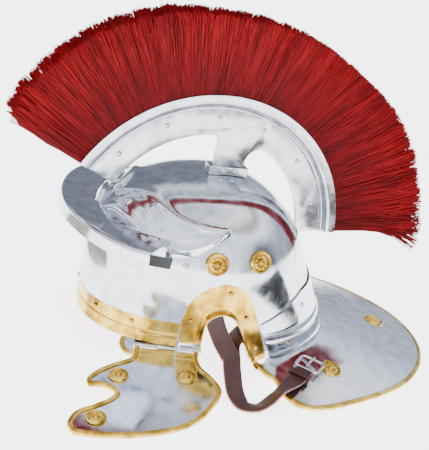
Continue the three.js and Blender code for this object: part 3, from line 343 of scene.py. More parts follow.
crestSet = {
    "centreBack": -19, "centreHeight": 104, "radius": 151.5, "innerRadius": 109, "front": 152.5, "rear": 6.5,
    "plate": 4, "channelDepth": 11, "channelWidth": 16, "channelWall": 1.3, "postFront": -19, "postRear": 14,
    "frontFillet": 7, "rearFillet": 15,
}
plateRadius = crestSet["radius"] - crestSet["channelDepth"] - seat
plateBox = np.array(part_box("crest_plate")) * 1000
frameShift = np.array([
    plateBox[:, 0].mean(),
    plateBox[1, 1] - (crestSet["centreBack"] + plateRadius * math.cos(math.radians(crestSet["rear"]))), 0.0])


def toFrame(points):
    return (np.asarray(points, float) + frameShift) * 0.001


def fromFrame(points):
    return np.asarray(points, float) * 1000 - frameShift


def crestCentre():
    return Vector(toFrame([0, crestSet["centreBack"], crestSet["centreHeight"]]))


def crestPlace(degrees, radius, across=0.0):
    turn = np.radians(degrees)
    return np.stack(np.broadcast_arrays(across, crestSet["centreBack"] + radius * np.cos(turn),
                                        crestSet["centreHeight"] + radius * np.sin(turn)), -1)


# meshes

def addObject(name, data):
    thing = bpy.data.objects.new(name, data)
    bpy.context.scene.collection.objects.link(thing)
    return thing


def finishMesh(name, bm, body, material, replaced=(), sharp=35):
    mesh = bpy.data.meshes.new(name)
    bm.to_mesh(mesh)
    bm.free()
    mesh.shade_smooth()
    if sharp:
        mesh.set_sharp_from_angle(angle=math.radians(sharp))
    thing = addObject(name, mesh)
    for one in material if isinstance(material, (list, tuple)) else [material]:
        mesh.materials.append(one)
    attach(thing, body)
    if replaced:
        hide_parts(*replaced)
    return thing


def gridMesh(columns, rows, place, closeAcross=False, closeDown=False):  # a grid whose points a surface places
    bm = bmesh.new()
    bmesh.ops.create_grid(bm, x_segments=columns, y_segments=rows, size=1)
    flat = np.array([vert.co[:2] for vert in bm.verts])
    points = toFrame(place((flat[:, 0] + 1) / 2, (flat[:, 1] + 1) / 2))
    for vert, point in zip(bm.verts, points):
        vert.co = point
    if closeAcross or closeDown:
        bmesh.ops.remove_doubles(bm, verts=bm.verts, dist=2e-6)
    return bm


def faceAway(bm, point):  # turns an open sheet's faces away from a point
    total = sum((face.calc_center_median() - point).dot(face.normal) * face.calc_area() for face in bm.faces)
    if total < 0:
        bmesh.ops.reverse_faces(bm, faces=bm.faces)


def thicken(thing, wall, side, soften=0.3):  # sheet thickness and softened edges
    solid = thing.modifiers.new("wall", "SOLIDIFY")
    solid.thickness = wall * 0.001
    solid.offset = side
    soft = thing.modifiers.new("edges", "BEVEL")
    soft.width = soften * 0.001
    soft.segments = 2
    soft.limit_method = "ANGLE"
    soft.angle_limit = math.radians(50)
    soft.harden_normals = True


def closeEnds(bm):
    bmesh.ops.holes_fill(bm, edges=[edge for edge in bm.edges if edge.is_boundary])
    bmesh.ops.recalc_face_normals(bm, faces=bm.faces)


def placed(bm, matrix, verts=None):
    bmesh.ops.transform(bm, matrix=matrix, verts=verts or bm.verts)


def standing(place, way):  # matrix that stands a shape's z along a way
    turn = Vector((0, 0, 1)).rotation_difference(Vector(way)).to_matrix().to_4x4()
    return Matrix.Translation(Vector(place)) @ turn


def tubeMesh(line, radius, around, flat, closed=False):  # a round bar along a line, radius may vary
    step = unit(np.roll(line, -1, 0) - np.roll(line, 1, 0) if closed else np.gradient(line, axis=0))
    side = unit(np.cross(step, flat))
    lift = np.cross(side, step)
    count = len(line)
    last = count if closed else count - 1
    radius = np.broadcast_to(radius, count)

    def place(u, v):
        i = (u * last).round().astype(int) % count
        turn = 2 * np.pi * v
        return line[i] + (side[i] * np.cos(turn)[:, None] + lift[i] * np.sin(turn)[:, None]) * radius[i][:, None]

    bm = gridMesh(last, around, place, True, True)
    closeEnds(bm)
    return bm


sides = {"left": 1, "right": -1}


def sided(points, side):
    return points * np.array([side, 1, 1])


steel = makeSteel("mildSteelBuffed", "#DCE0E8", "#BFC4CE", 0.09, 0.19)
crestSteel = makeSteel("mildSteelBrightened", "#D6D8DC", "#A9ADB4", 0.16, 0.3)
# painted shade: a near-black copy of the steel for the strip between the brow guard and its tab, standing in for shade
# and dark reflection, not a finish of its own
paintedShadeSteel = makeSteel("mildSteelPaintedShade", "#3A3B3C", "#1E1F20", 0.3, 0.5)
brass = makeBrass("brassSheetBuffed")
hair = makeHair("horsehairDyed", "#62000A", "#76020C", "#920612")
leather = makeLeather("strapLeatherWaxed", "#3E1611", "#240C09", 0.45, 0.0016)
leatherEdge = makeLeather("strapLeatherCutEdge", "#A87C72", "#7A5048", 0.7, 0.0012)
print("materials made")


# camera at the photograph's place: 96 mm lens, one pixel to a millimetre at the aim point

cameraSet = {
    "aim": (0.0, 0.0, 116.9), "distance": 1200.0, "lens": 96, "film": 36,
    "up": (-0.4412, -0.0577, 0.8955), "back": (0.8297, -0.4066, 0.3825),
}
aim = Vector(toFrame(cameraSet["aim"]))
back = Vector(cameraSet["back"]).normalized()
right = Vector(cameraSet["up"]).cross(back).normalized()
upward = back.cross(right)
cameraData = bpy.data.cameras.new("viewCamera")
cameraData.sensor_fit = "VERTICAL"
cameraData.sensor_height = cameraSet["film"]
cameraData.lens = cameraSet["lens"]
camera = addObject("viewCamera", cameraData)
camera.matrix_world = Matrix.Translation(aim + back * cameraSet["distance"] * 0.001) @ Matrix(
    (right, upward, back)).transposed().to_4x4()
bpy.context.scene.camera = camera
print("camera placed")


# bowl

earRows = np.array([  # inner back and height, outer back and height, as shares of 100 mm
    [-0.32, 0.345, -0.5, 0.325], [-0.33, 0.47, -0.52, 0.47], [-0.33, 0.6, -0.52, 0.65], [-0.29, 0.69, -0.47, 0.82],
    [-0.2, 0.74, -0.34, 0.95], [-0.1, 0.72, -0.18, 1.01], [-0.02, 0.65, -0.02, 0.97], [0.05, 0.54, 0.08, 0.88],
    [0.12, 0.41, 0.17, 0.73], [0.2, 0.27, 0.27, 0.54], [0.28, 0.17, 0.38, 0.35], [0.33, 0.12, 0.45, 0.2],
]) * 100
earCut = 0.22  # share of the ear guard's width at which the bowl is cut, under the guard


def bowlSurface(u, v):
    s = 2 * u - 1
    turn = np.pi * (0.74 * s + 0.26 * s ** 3)  # closer columns at the brow
    start = levelAt(bowlEdge(turn))
    return offBowl(turn, start + (1 - start) * v, 0.0)


def makeBowl():
    bm = gridMesh(bowlSet["columns"], bowlSet["rows"], bowlSurface, True, True)
    rows = smoothRows(earRows, np.linspace(0, len(earRows) - 1, 90))
    cut = rows[:, :2] * (1 - earCut) + rows[:, 2:] * earCut
    closed = np.vstack([[cut[0, 0], -10], cut, [cut[-1, 0], -10]])
    centres = fromFrame([face.calc_center_median() for face in bm.faces])
    gone = insideOf(closed, centres[:, 1:])
    faces = [face for face, out in zip(bm.faces, gone) if out]
    bmesh.ops.delete(bm, geom=faces, context="FACES")
    rim = [vert for vert in bm.verts if vert.is_boundary]
    spots = fromFrame([vert.co for vert in rim])
    nearest, gap = nearestOn(closed, spots[:, 1:])
    turn, level = sidePlace(nearest[:, 0], nearest[:, 1])
    moved = toFrame(offBowl(turn, level, 0.0) * np.stack([np.sign(spots[:, 0]), 0 * turn + 1, 0 * turn + 1], 1))
    for vert, spot, far in zip(rim, moved, gap):
        if far < 3:
            vert.co = spot
    faceAway(bm, Vector((0, 0, 0.08)))
    thing = finishMesh("bowl", bm, "helmet", steel, ["bowl"], sharp=None)
    thicken(thing, bowlSet["wall"], -1)


makeBowl()
print("bowl made")


# brass round the ears and brow

earSet = {"flange": 9, "columns": 110, "bend": 1.6}
bandSet = {"height": 25, "flare": 2, "rib": 1.1, "ribAt": 0.42, "gap": 0.5, "columns": 200, "rows": 26}


def earStation(share):
    rows = smoothRows(earRows, np.asarray(share) * (len(earRows) - 1))
    return rows[..., :2], rows[..., 2:]


def makeEarGuard(name, side):
    bend = earSet["bend"]
    profile = np.array([[0, earSet["flange"]], [0, 2 * bend], [0.015, 1.1 * bend], [0.05, 0.5 * bend],
                        [0.1, 0.25 * bend + seat * 0.5], [0.16, seat], [0.4, seat], [0.7, seat], [1, seat]])

    def place(u, v):
        inner, outer = earStation(u)
        row = smoothRows(profile, np.interp(v, [0, 0.18, 0.5, 1], [0, 1, 5, 8]))
        spot = inner + (outer - inner) * row[:, :1]
        turn, level = sidePlace(spot[:, 0], spot[:, 1])
        return sided(offBowl(turn, level, row[:, 1]), side)

    bm = gridMesh(earSet["columns"], 26, place)
    faceAway(bm, Vector(toFrame([0, 0, 60])))
    thing = finishMesh(name, bm, "helmet", brass, [name])
    thicken(thing, sheetWall, 1, 0.35)


def makeBrowBand():
    endBack = -(0.52 * bowlSet["earLength"] + bandSet["gap"])
    endTurn = float(sidePlace(endBack, browEdge(endBack) + bandSet["height"] / 2)[0])

    def place(u, v):
        turn = endTurn * (2 * u - 1)
        foot = browEdge(-bowlSet["frontReach"] * np.cos(turn))
        rib = bandSet["rib"] * np.exp(-((v - bandSet["ribAt"]) / 0.05) ** 2)
        flare = bandSet["flare"] * np.clip((0.34 - v) / 0.34, 0, 1) ** 1.3
        return offBowl(turn, levelAt(foot + v * bandSet["height"]), seat + rib + flare)

    bm = gridMesh(bandSet["columns"], bandSet["rows"], place)
    faceAway(bm, Vector((0, 0, 0.05)))
    thing = finishMesh("browBand", bm, "helmet", brass, ["brow_band"])
    thicken(thing, sheetWall, 1, 0.35)


for sideName, side in sides.items():
    makeEarGuard("ear_guard_" + sideName, side)
makeBrowBand()
print("brass trim made")


# brow guard

browSet = {
    "height": 131, "reach": 157, "halfWidth": 102, "drop": 12, "lean": 1, "bend": 2.2,
    "tabLength": 28, "tabHeight": 19, "tabFoot": 103, "tabFront": -74, "stripHeight": 11, "stripLift": 3,
    "stripLap": 1.5, "columns": 180,
}
browPlan = [(0, -1), (0.29, -0.978), (0.54, -0.924), (0.765, -0.84), (0.92, -0.745), (0.99, -0.656)]
browHalf = [(x * browSet["halfWidth"], y * browSet["reach"]) for x, y in browPlan]


def makeBrowGuard():
    rimLine = smoothLine([(-x, y) for x, y in reversed(browHalf[1:])] + browHalf)
    top = browSet["height"]
    under = levelAt(top - sheetWall)
    _, front, _, width = bowlSection(under)

    def place(u, v):
        rim = alongLine(rimLine, u)
        turn = np.arctan2(rim[:, 0] / width, -rim[:, 1] / front)
        roots = [offBowl(turn, level, 4 * seat)[:, :2] for level in (under, levelAt(top))]
        further = np.linalg.norm(roots[0], axis=1) > np.linalg.norm(roots[1], axis=1)
        root = np.where(further[:, None], roots[0], roots[1])
        out = unit(rim - root)
        reach = np.linalg.norm(rim - root, axis=1)
        bend = browSet["bend"]
        flat = np.clip(v / 0.5, 0, 1) * (reach - bend)
        turnDown = np.clip((v - 0.5) / 0.2, 0, 1) * np.pi / 2
        drop = np.clip((v - 0.7) / 0.3, 0, 1)
        away = flat + bend * np.sin(turnDown) + browSet["lean"] * drop
        height = top - bend * (1 - np.cos(turnDown)) - (browSet["drop"] - bend) * drop
        spot = root + out * away[:, None]
        return np.column_stack([spot, height])

    bm = gridMesh(browSet["columns"], 30, place)
    faceAway(bm, Vector((0, 0, 0.06)))
    thing = finishMesh("browGuard", bm, "helmet", steel, ["brow_guard"])
    thicken(thing, sheetWall, -1, 0.35)


def makeBrowEnd(sideName, side):
    front = browSet["tabFront"]
    foot = browSet["tabFoot"]

    def tabPlace(u, v):
        spread = 1 - 0.18 * np.clip((u - 0.8) / 0.2, 0, 1) ** 2
        height = foot + browSet["tabHeight"] * (0.5 + (v - 0.5) * spread)
        turn, level = sidePlace(front + browSet["tabLength"] * u, height)
        return sided(offBowl(turn, level, 2 * seat), side)

    bm = gridMesh(24, 16, tabPlace)
    faceAway(bm, Vector((0, 0, 0.1)))
    thicken(finishMesh("browTab" + sideName.title(), bm, "helmet", steel), sheetWall, 1, 0.3)
    corner = browHalf[-1]
    start = np.array([corner[0], corner[1], browSet["height"] - browSet["drop"] + 1])
    low = foot + browSet["stripLift"]
    turn, level = sidePlace(front + 2, low + browSet["stripHeight"] / 2)
    end = offBowl(turn, level, 4 * seat)
    end[2] = low
    start = start - unit((end - start) * [1, 1, 0]) * browSet["stripLap"]

    def stripPlace(u, v):
        return sided(start + (end - start) * u[:, None] + np.array([0, 0, browSet["stripHeight"]]) * v[:, None], side)

    bm = gridMesh(8, 6, stripPlace)
    faceAway(bm, Vector((0, 0, 0.1)))
    # the strip gets the near-black steel as painted shade and dark reflection
    thicken(finishMesh("browStrip" + sideName.title(), bm, "helmet", paintedShadeSteel), sheetWall, 0, 0.3)


makeBrowGuard()
for sideName, side in sides.items():
    makeBrowEnd(sideName, side)
print("brow guard made")


# neck guard and its edging

neckSet = {
    "reach": 266, "halfWidth": 158, "frontTurn": math.radians(107), "baseStep": 7, "edging": 5.2, "feather": 0.8,
    "columns": 260,
}
bandTops = [(103.5, 54), (117, 70), (122, 77), (135, 85), (180, 85)]  # turn from the brow, height of the band's edge
bandProfile = [(34, 0), (30.5, 0.9), (28.6, 0), (25, 2.2), (18, 3.2), (11, 3), (6, 2.6)]  # above the foot, rise
neckPlan = [
    (0.605, 0.118, 0.85), (0.685, 0.142, 0.72), (0.76, 0.166, 0.62), (0.867, 0.176, 0.34), (0.95, 0.205, 0.13),
    (1, 0.256, 0.03), (0.994, 0.338, 0), (0.949, 0.44, 0), (0.873, 0.568, 0), (0.785, 0.684, 0), (0.671, 0.79, 0),
    (0.532, 0.876, 0), (0.38, 0.94, 0), (0.2, 0.985, 0), (0, 1, 0),
]
neckHalf = [(x * neckSet["halfWidth"], y * neckSet["reach"], neckSet["edging"] / 2 + lift * bowlSet["earFoot"])
            for x, y, lift in neckPlan]
neckLine = smoothLine(neckHalf + [(-x, y, z) for x, y, z in reversed(neckHalf[:-1])])


def neckBase(share):
    turn = neckSet["frontTurn"] + (2 * np.pi - 2 * neckSet["frontTurn"]) * share
    foot = napeEdge(np.maximum(-bowlSet["napeReach"] * np.cos(turn), 0))
    point = offBowl(turn, levelAt(foot), neckSet["baseStep"], False)
    point[..., 2] = foot
    return turn, foot, point


def edgeFrame(rim, along, toward):  # inward and upward directions at places on a rim
    inward = unit(toward - along * dot(toward, along))
    normal = unit(np.cross(inward, along))
    return inward, normal * np.where(normal[:, 2:] < 0, -1, 1)


lapped = sheetWall + 0.05  # a riveted lap lies close on the sheet under it


def neckStation(share):
    step = 1e-3
    rim = alongLine(neckLine, share)
    along = unit(alongLine(neckLine, np.clip(share + step, 0, 1)) - alongLine(neckLine, np.clip(share - step, 0, 1)))
    inward, normal = edgeFrame(rim, along, neckBase(share)[2] - rim)
    return rim, inward, normal


def neckSkirt(share, way, above=0.0):  # place on the skirt's upper face, way 0 at the rim and 1 at the collar
    share = np.atleast_1d(np.asarray(share, float))
    way = np.atleast_1d(np.asarray(way, float))
    rim, inward, normal = neckStation(share)
    start = rim + inward * neckSet["edging"] / 2 + normal * sheetWall / 2
    end = neckBase(share)[2] + [0, 0, 1]
    return start + (end - start) * way[:, None] + normal * above, normal


def makeNeckGuard():
    earEdge = smoothRows(earRows, np.linspace(len(earRows) - 5, len(earRows) - 1, 40))[:, 2:]

    def place(u, v):
        turn, foot, point = neckBase(u)
        hand = np.where(u < 0.5, 1, -1)
        near = np.clip(1 - np.minimum(u, 1 - u) / 0.12, 0, 1) ** 2

        def wall(height, rise):  # the front end follows the ear guard's edge
            back = np.interp(height, earEdge[::-1, 1], earEdge[::-1, 0]) + 1.2
            start = sidePlace(back, height)[0]
            off = lapped + rise - neckSet["feather"] * near ** 6
            return offBowl(turn + hand * near * (start - neckSet["frontTurn"]), levelAt(height), off, False)

        tops, heights = zip(*bandTops)
        outer = [wall(np.interp(np.degrees(np.pi - np.abs(turn - np.pi)), tops, heights), -neckSet["feather"])]
        outer += [wall(foot + above, rise) for above, rise in bandProfile]
        outer += [point + [0, 0, 1]]
        rimEnd = neckSkirt(u, 0 * u)[0]
        outer += [outer[-1] + (rimEnd - outer[-1]) * way for way in (0.05, 0.17, 0.36, 0.58, 0.8, 1)]
        at = np.interp(v, [0, 0.12, 0.6, 0.75, 1], [0, 1, 8, 10, 14])
        rows = np.stack(outer)
        last = len(rows) - 1
        i = np.minimum(at.astype(int), last - 1)
        t = (at - i)[:, None]
        k = np.arange(len(u))
        a, b, c, d = (rows[np.clip(i + n, 0, last), k] for n in (-1, 0, 1, 2))
        return curveThrough(a, b, c, d, t)

    bm = gridMesh(neckSet["columns"], 100, place)
    faceAway(bm, Vector(toFrame([0, 60, -60])))
    thing = finishMesh("neckGuard", bm, "helmet", steel, ["neck_guard"])
    thicken(thing, sheetWall, -1)


def makeEdging(name, body, stations, turned, replaced):  # a brass strip folded over a sheet's edge
    rim, inward, normal = stations
    half = neckSet["edging"] / 2
    count = len(rim)

    def place(u, v):
        i = np.minimum((u * (count - 1)).round().astype(int), count - 1)
        turn = 2 * np.pi * v
        deep = half - half * squared(np.cos(turn), 0.7)
        high = half * squared(np.sin(turn), 0.8)
        return turned(rim[i] + inward[i] * deep[:, None] + normal[i] * high[:, None])

    bm = gridMesh(count - 1, 20, place, True, True)
    closeEnds(bm)
    finishMesh(name, bm, body, brass, replaced)


makeNeckGuard()
makeEdging("neckEdging", "helmet", neckStation(np.linspace(0, 1, 260)), lambda p: p, ["neck_edging"])
print("neck guard made")


# cheek guards

cheekSet = {"length": 140, "width": 134, "bulge": 4, "start": 5.2, "crease": 17, "cell": 1.8}
hingeSet = {"length": 64, "radius": 3.3, "pin": 1.2, "back": -58, "gap": 0.5, "leafDepth": 13, "folded": 169.325}
cheekPlan = [
    (-0.235, 0.05), (-0.25, 0.18), (-0.38, 0.275), (-0.49, 0.375), (-0.53, 0.455), (-0.51, 0.51), (-0.44, 0.51),
    (-0.37, 0.535), (-0.33, 0.585), (-0.36, 0.64), (-0.45, 0.71), (-0.57, 0.79), (-0.61, 0.905), (-0.57, 0.975),
    (-0.45, 1), (-0.25, 0.995), (0.07, 0.91), (0.23, 0.79), (0.33, 0.63), (0.385, 0.45), (0.33, 0.33),
    (0.24, 0.21), (0.22, 0.12), (0.22, 0.05),
]
cheekLine = smoothLine([(along * cheekSet["width"], out * cheekSet["length"]) for along, out in cheekPlan])
hingeWay = unit(np.array([0.34, 0.93, bowlSet["browSlope"] * 0.94]))
hingeTurn, hingeLevel = sidePlace(hingeSet["back"], browEdge(hingeSet["back"]))
hingeCentre = offBowl(hingeTurn, hingeLevel, 1.2)
hingeCentre[2] = browEdge(hingeSet["back"]) - hingeSet["radius"] - 4 * seat


def cheekAxes(rise):
    backRise = (hingeWay[2] - rise * hingeWay[0]) / hingeWay[1]
    up = unit(np.array([-rise, -backRise, 1.0]))
    return up, unit(np.cross(hingeWay, up))


def cheekRise(along, out):
    across = along / (cheekSet["width"] * 0.7) + 0.08
    down = (out / cheekSet["length"] - 0.5) / 0.75
    return cheekSet["bulge"] * np.maximum(0, 1 - across ** 2 - down ** 2)


def cheekPlace(along, out, up, axes=None):
    upWay, outWay = axes or cheekAxesNow
    return (hingeCentre + np.asarray(along)[..., None] * hingeWay + np.asarray(out)[..., None] * outWay
            + np.asarray(up)[..., None] * upWay)


def cheekStation(share, axes=None):
    step = 1e-3
    spot = alongLine(cheekLine, share)
    way = unit(alongLine(cheekLine, np.clip(share + step, 0, 1)) - alongLine(cheekLine, np.clip(share - step, 0, 1)))
    side = np.stack([-way[:, 1], way[:, 0]], 1)

    def lift(p):
        return cheekPlace(p[:, 0], p[:, 1], cheekRise(p[:, 0], p[:, 1]), axes)

    rim = lift(spot)
    inward, normal = edgeFrame(rim, unit(lift(spot + way) - rim), lift(spot - side * 2) - rim)
    return rim, inward, normal


def restAxes():  # the rise at which the edging's lowest place meets the table
    low, high = -0.5, 0.5
    half = neckSet["edging"] / 2
    for _ in range(24):
        middle = (low + high) / 2
        rim, inward, normal = cheekStation(np.linspace(0, 1, 31), cheekAxes(middle))
        lowest = min((rim[:, 2] + inward[:, 2] * deep - normal[:, 2] * half).min() for deep in (0, 2 * half))
        low, high = (middle, high) if lowest < 0 else (low, middle)
    return cheekAxes((low + high) / 2)


cheekAxesNow = restAxes()


def swung(points, side):  # the left guard lies out, the right one is folded in under the bowl
    points = sided(points, side)
    if side > 0:
        return points
    centre = Vector(sided(hingeCentre, side))
    turn = Matrix.Rotation(math.radians(hingeSet["folded"]), 3, Vector(-sided(hingeWay, side)))
    return (points - centre) @ np.array(turn).T + centre


def swungWay(way, side):
    return swung(hingeCentre + way, side) - swung(hingeCentre, side)


def makeCheekGuard(sideName, side):
    length, width, cell = cheekSet["length"], cheekSet["width"], cheekSet["cell"]
    bm = bmesh.new()
    low = np.array([-0.68 * width, 0])
    high = np.array([0.46 * width, length + 4])
    cells = ((high - low) / cell).astype(int)
    bmesh.ops.create_grid(bm, x_segments=int(cells[0]), y_segments=int(cells[1]), size=1)
    for vert in bm.verts:
        vert.co.x, vert.co.y = low + (high - low) * (np.array(vert.co[:2]) + 1) / 2
    spot = cheekLine
    way = unit(np.gradient(spot, axis=0))
    outline = spot - np.stack([-way[:, 1], way[:, 0]], 1) * neckSet["edging"] / 2
    outline[:, 1] = np.maximum(outline[:, 1], cheekSet["start"])
    outline = np.vstack([outline, outline[:1]])
    centres = np.array([face.calc_center_median()[:2] for face in bm.faces])
    keep = insideOf(outline[:-1], centres)
    bmesh.ops.delete(bm, geom=[face for face, inside in zip(bm.faces, keep) if not inside], context="FACES")
    rim = [vert for vert in bm.verts if vert.is_boundary]
    nearest, _ = nearestOn(outline, np.array([vert.co[:2] for vert in rim]))
    for vert, place in zip(rim, nearest):
        vert.co.x, vert.co.y = place
    flat = np.array([vert.co[:2] for vert in bm.verts])
    crease = -0.5 * np.exp(-((flat[:, 1] - cheekSet["crease"]) / 1.6) ** 2)
    points = toFrame(swung(cheekPlace(flat[:, 0], flat[:, 1], cheekRise(flat[:, 0], flat[:, 1]) + crease), side))
    for vert, point in zip(bm.verts, points):
        vert.co = point
    faceAway(bm, Vector((0, 0, -2)))
    name = "cheek_guard_" + sideName
    thing = finishMesh(name, bm, "cheek_" + sideName, steel, [name], sharp=None)
    thicken(thing, sheetWall, 0, 0.2)


def makeHinge(sideName, side):
    length, radius, gap = hingeSet["length"], hingeSet["radius"], hingeSet["gap"]
    knuckle = length / 3

    def bar(bm, start, end, size, segments=28, soft=0.35):
        middle = cheekPlace((start + end) / 2, 0.0, 0.0)  # made in mm and scaled where it is placed
        made = bmesh.ops.create_cone(bm, cap_ends=True, segments=segments, radius1=size, radius2=size,
                                     depth=end - start)
        edges = {edge for vert in made["verts"] for edge in vert.link_edges
                 if len({round(v.co.z, 4) for v in edge.verts}) == 1}
        bevelled = bmesh.ops.bevel(bm, geom=list(edges), offset=soft, affect="EDGES", segments=2, profile=0.5,
                                   material=-1)
        verts = list({vert for vert in made["verts"] if vert.is_valid} | set(bevelled["verts"]))
        place = standing(toFrame(sided(middle, side)), sided(hingeWay, side))
        placed(bm, place @ Matrix.Scale(0.001, 4), verts)

    def plate(bm, span, outs, ups, turned):
        made = bmesh.ops.create_cube(bm, size=1)["verts"]
        for vert in made:
            a, b, c = (vert.co[k] + 0.5 for k in range(3))
            vert.co = toFrame(turned(cheekPlace(span[0] + (span[1] - span[0]) * a, outs[0] + (outs[1] - outs[0]) * b,
                                                ups[0] + (ups[1] - ups[0]) * c), side))

    bm = bmesh.new()
    for start, end in ((-length / 2, -knuckle / 2 - gap), (knuckle / 2 + gap, length / 2)):
        bar(bm, start, end, radius)
        plate(bm, (start, end), (-12, -radius * 0.5), (radius - 2 * sheetWall, radius - sheetWall), sided)
    bmesh.ops.recalc_face_normals(bm, faces=bm.faces)
    finishMesh("hingeKnuckles" + sideName.title(), bm, "helmet", steel)

    def leafPlace(u, v):
        backs = hingeCentre[1] + hingeWay[1] * length * (0.92 * u - 0.5)
        foot = browEdge(backs)
        turn, level = sidePlace(backs, foot - 3 + (hingeSet["leafDepth"] + 3) * v)
        return sided(offBowl(turn, level, -bowlSet["wall"] - 1, False), side)

    bm = gridMesh(24, 8, leafPlace)
    faceAway(bm, Vector((0, 0, 0.03)))
    name = "hinge_bowl_leaf_" + sideName
    thicken(finishMesh(name, bm, "helmet", steel, [name]), sheetWall, -1, 0.25)

    bm = bmesh.new()
    half = knuckle / 2 - gap
    bar(bm, -half, half, radius)
    under = float(cheekRise(0.0, cheekSet["start"])) - sheetWall / 2 - seat
    plate(bm, (-half, half), (radius * 0.5, cheekSet["start"] + hingeSet["leafDepth"]), (under - sheetWall, under),
          swung)
    bmesh.ops.recalc_face_normals(bm, faces=bm.faces)
    name = "hinge_cheek_leaf_" + sideName
    finishMesh(name, bm, "cheek_" + sideName, steel, [name])
    bm = bmesh.new()
    bar(bm, -length / 2 - 1, length / 2 + 1, hingeSet["pin"], 16, 0.3)
    bmesh.ops.recalc_face_normals(bm, faces=bm.faces)
    name = "hinge_pin_" + sideName
    finishMesh(name, bm, "helmet", steel, [name])


for sideName, side in sides.items():
    makeCheekGuard(sideName, side)
    name = "cheek_edging_" + sideName
    makeEdging(name, "cheek_" + sideName, cheekStation(np.linspace(0, 1, 240)),
               lambda p, side=side: swung(p, side), [name])
    makeHinge(sideName, side)
print("cheek guards and hinges made")


# crest holder

def makeCrestPlate():
    c = crestSet
    inner = c["innerRadius"]

    def arc(start, end, count, radius):
        return crestPlace(np.linspace(start, end, count), radius)[:, 1:]

    def fillet(post, radius, way):
        back = post + way * radius
        height = c["centreHeight"] + math.sqrt(inner ** 2 - (back - c["centreBack"]) ** 2) - radius
        turns = np.linspace(0, np.pi / 2, 12)
        ring = np.stack([back - way * radius * np.cos(turns), height + radius * np.sin(turns)], 1)
        return ring[::-1] if way > 0 else ring

    rearStart = math.degrees(math.acos((c["postRear"] + c["rearFillet"] - c["centreBack"]) / inner))
    frontStart = math.degrees(math.acos((c["postFront"] - c["frontFillet"] - c["centreBack"]) / inner))
    foot = bowlSet["crownHeight"] + 2 * seat + sheetWall
    outline = np.vstack([
        arc(c["front"], c["rear"], 120, plateRadius),
        arc(c["rear"], rearStart - 1, 50, inner),
        fillet(c["postRear"], c["rearFillet"], 1),
        [[c["postRear"], foot], [c["postFront"], foot]],
        fillet(c["postFront"], c["frontFillet"], -1),
        arc(frontStart + 1, c["front"], 50, inner),
    ])
    bm = bmesh.new()
    verts = [bm.verts.new(toFrame([-c["plate"] / 2, y, z])) for y, z in outline]
    face = bm.faces.new(verts)
    made = bmesh.ops.extrude_face_region(bm, geom=[face])
    top = [v for v in made["geom"] if isinstance(v, bmesh.types.BMVert)]
    bmesh.ops.translate(bm, verts=top, vec=(c["plate"] * 0.001, 0, 0))
    bmesh.ops.recalc_face_normals(bm, faces=bm.faces)
    flatEdges = [edge for edge in bm.edges if len({round(v.co.x, 6) for v in edge.verts}) == 1]
    bmesh.ops.bevel(bm, geom=flatEdges, offset=0.0006, affect="EDGES", segments=2, profile=0.5, material=-1,
                    clamp_overlap=True)
    finishMesh("crestPlate", bm, "helmet", crestSteel, ["crest_plate"], sharp=40)


def spinProfile(name, profile, material, replaced):  # a closed section carried round the crest's circle
    bm = bmesh.new()
    verts = [bm.verts.new(toFrame(crestPlace(crestSet["rear"], radius, across))) for radius, across in profile]
    face = bm.faces.new(verts)
    bmesh.ops.spin(bm, geom=[face] + face.edges[:] + face.verts[:], cent=crestCentre(), axis=(1, 0, 0),
                   angle=math.radians(crestSet["front"] - crestSet["rear"]), steps=150, use_duplicate=False)
    bmesh.ops.recalc_face_normals(bm, faces=bm.faces)
    return finishMesh(name, bm, "helmet", material, replaced, sharp=38)


def makeChannel():
    c = crestSet
    half, wall = c["channelWidth"] / 2, c["channelWall"]
    floor = c["radius"] - c["channelDepth"]
    outer = [(c["radius"], half), (c["radius"] - 0.7, half + 0.15), (floor + 4, half), (floor + 1.6, half - 0.5),
             (floor + 0.4, half - 1.8), (floor, half - 3)]
    inner = [(c["radius"], half - wall), (floor + wall, half - wall)]
    profile = ([(r, -x) for r, x in outer] + [(r, x) for r, x in reversed(outer)] + inner
               + [(r, -x) for r, x in reversed(inner)])
    spinProfile("crestChannel", profile, crestSteel, ["crest_channel"])
    for sideName, side in sides.items():  # the bead that closes the corner under the channel
        turns = np.linspace(0, 2 * np.pi, 12, endpoint=False)
        bead = [(floor - 2.9 + 1.5 * math.cos(t), side * (c["plate"] / 2 + 1.3 + 1.5 * math.sin(t))) for t in turns]
        spinProfile("crestBead" + sideName.title(), bead, steel, ())


makeCrestPlate()
makeChannel()
print("crest holder made")


# hair: a dense core with thousands of strands over it, in locks that lean a little

hairSet = {
    "strands": 6000, "points": 5, "rootReach": 143, "coreReach": 224, "coreHalf": 12.2, "rootHalf": 5.6,
    "tipHalf": 15.4, "thickness": 1.2, "locks": 70, "seed": 7, "strandRoot": 146, "spreadFrom": 151, "spreadOver": 70,
    "napeDroop": -8.0, "napeShare": 0.06,
}
hairReach = np.array([  # degrees from the rear, reach of the ends in mm
    [-4, 250], [5, 253], [12, 250], [20, 245], [28, 244], [42, 237], [55, 229], [75, 228], [90, 229], [97, 231],
    [108, 238], [125, 244], [145, 243], [152.5, 236],
])


def makeCore():
    s = hairSet
    profile = [(s["rootReach"], -s["rootHalf"]), (crestSet["radius"], -s["rootHalf"]), (s["coreReach"], -s["coreHalf"]),
               (s["coreReach"], s["coreHalf"]), (crestSet["radius"], s["rootHalf"]), (s["rootReach"], s["rootHalf"])]
    thing = spinProfile("plumeCore", profile, hair, ["plume"])


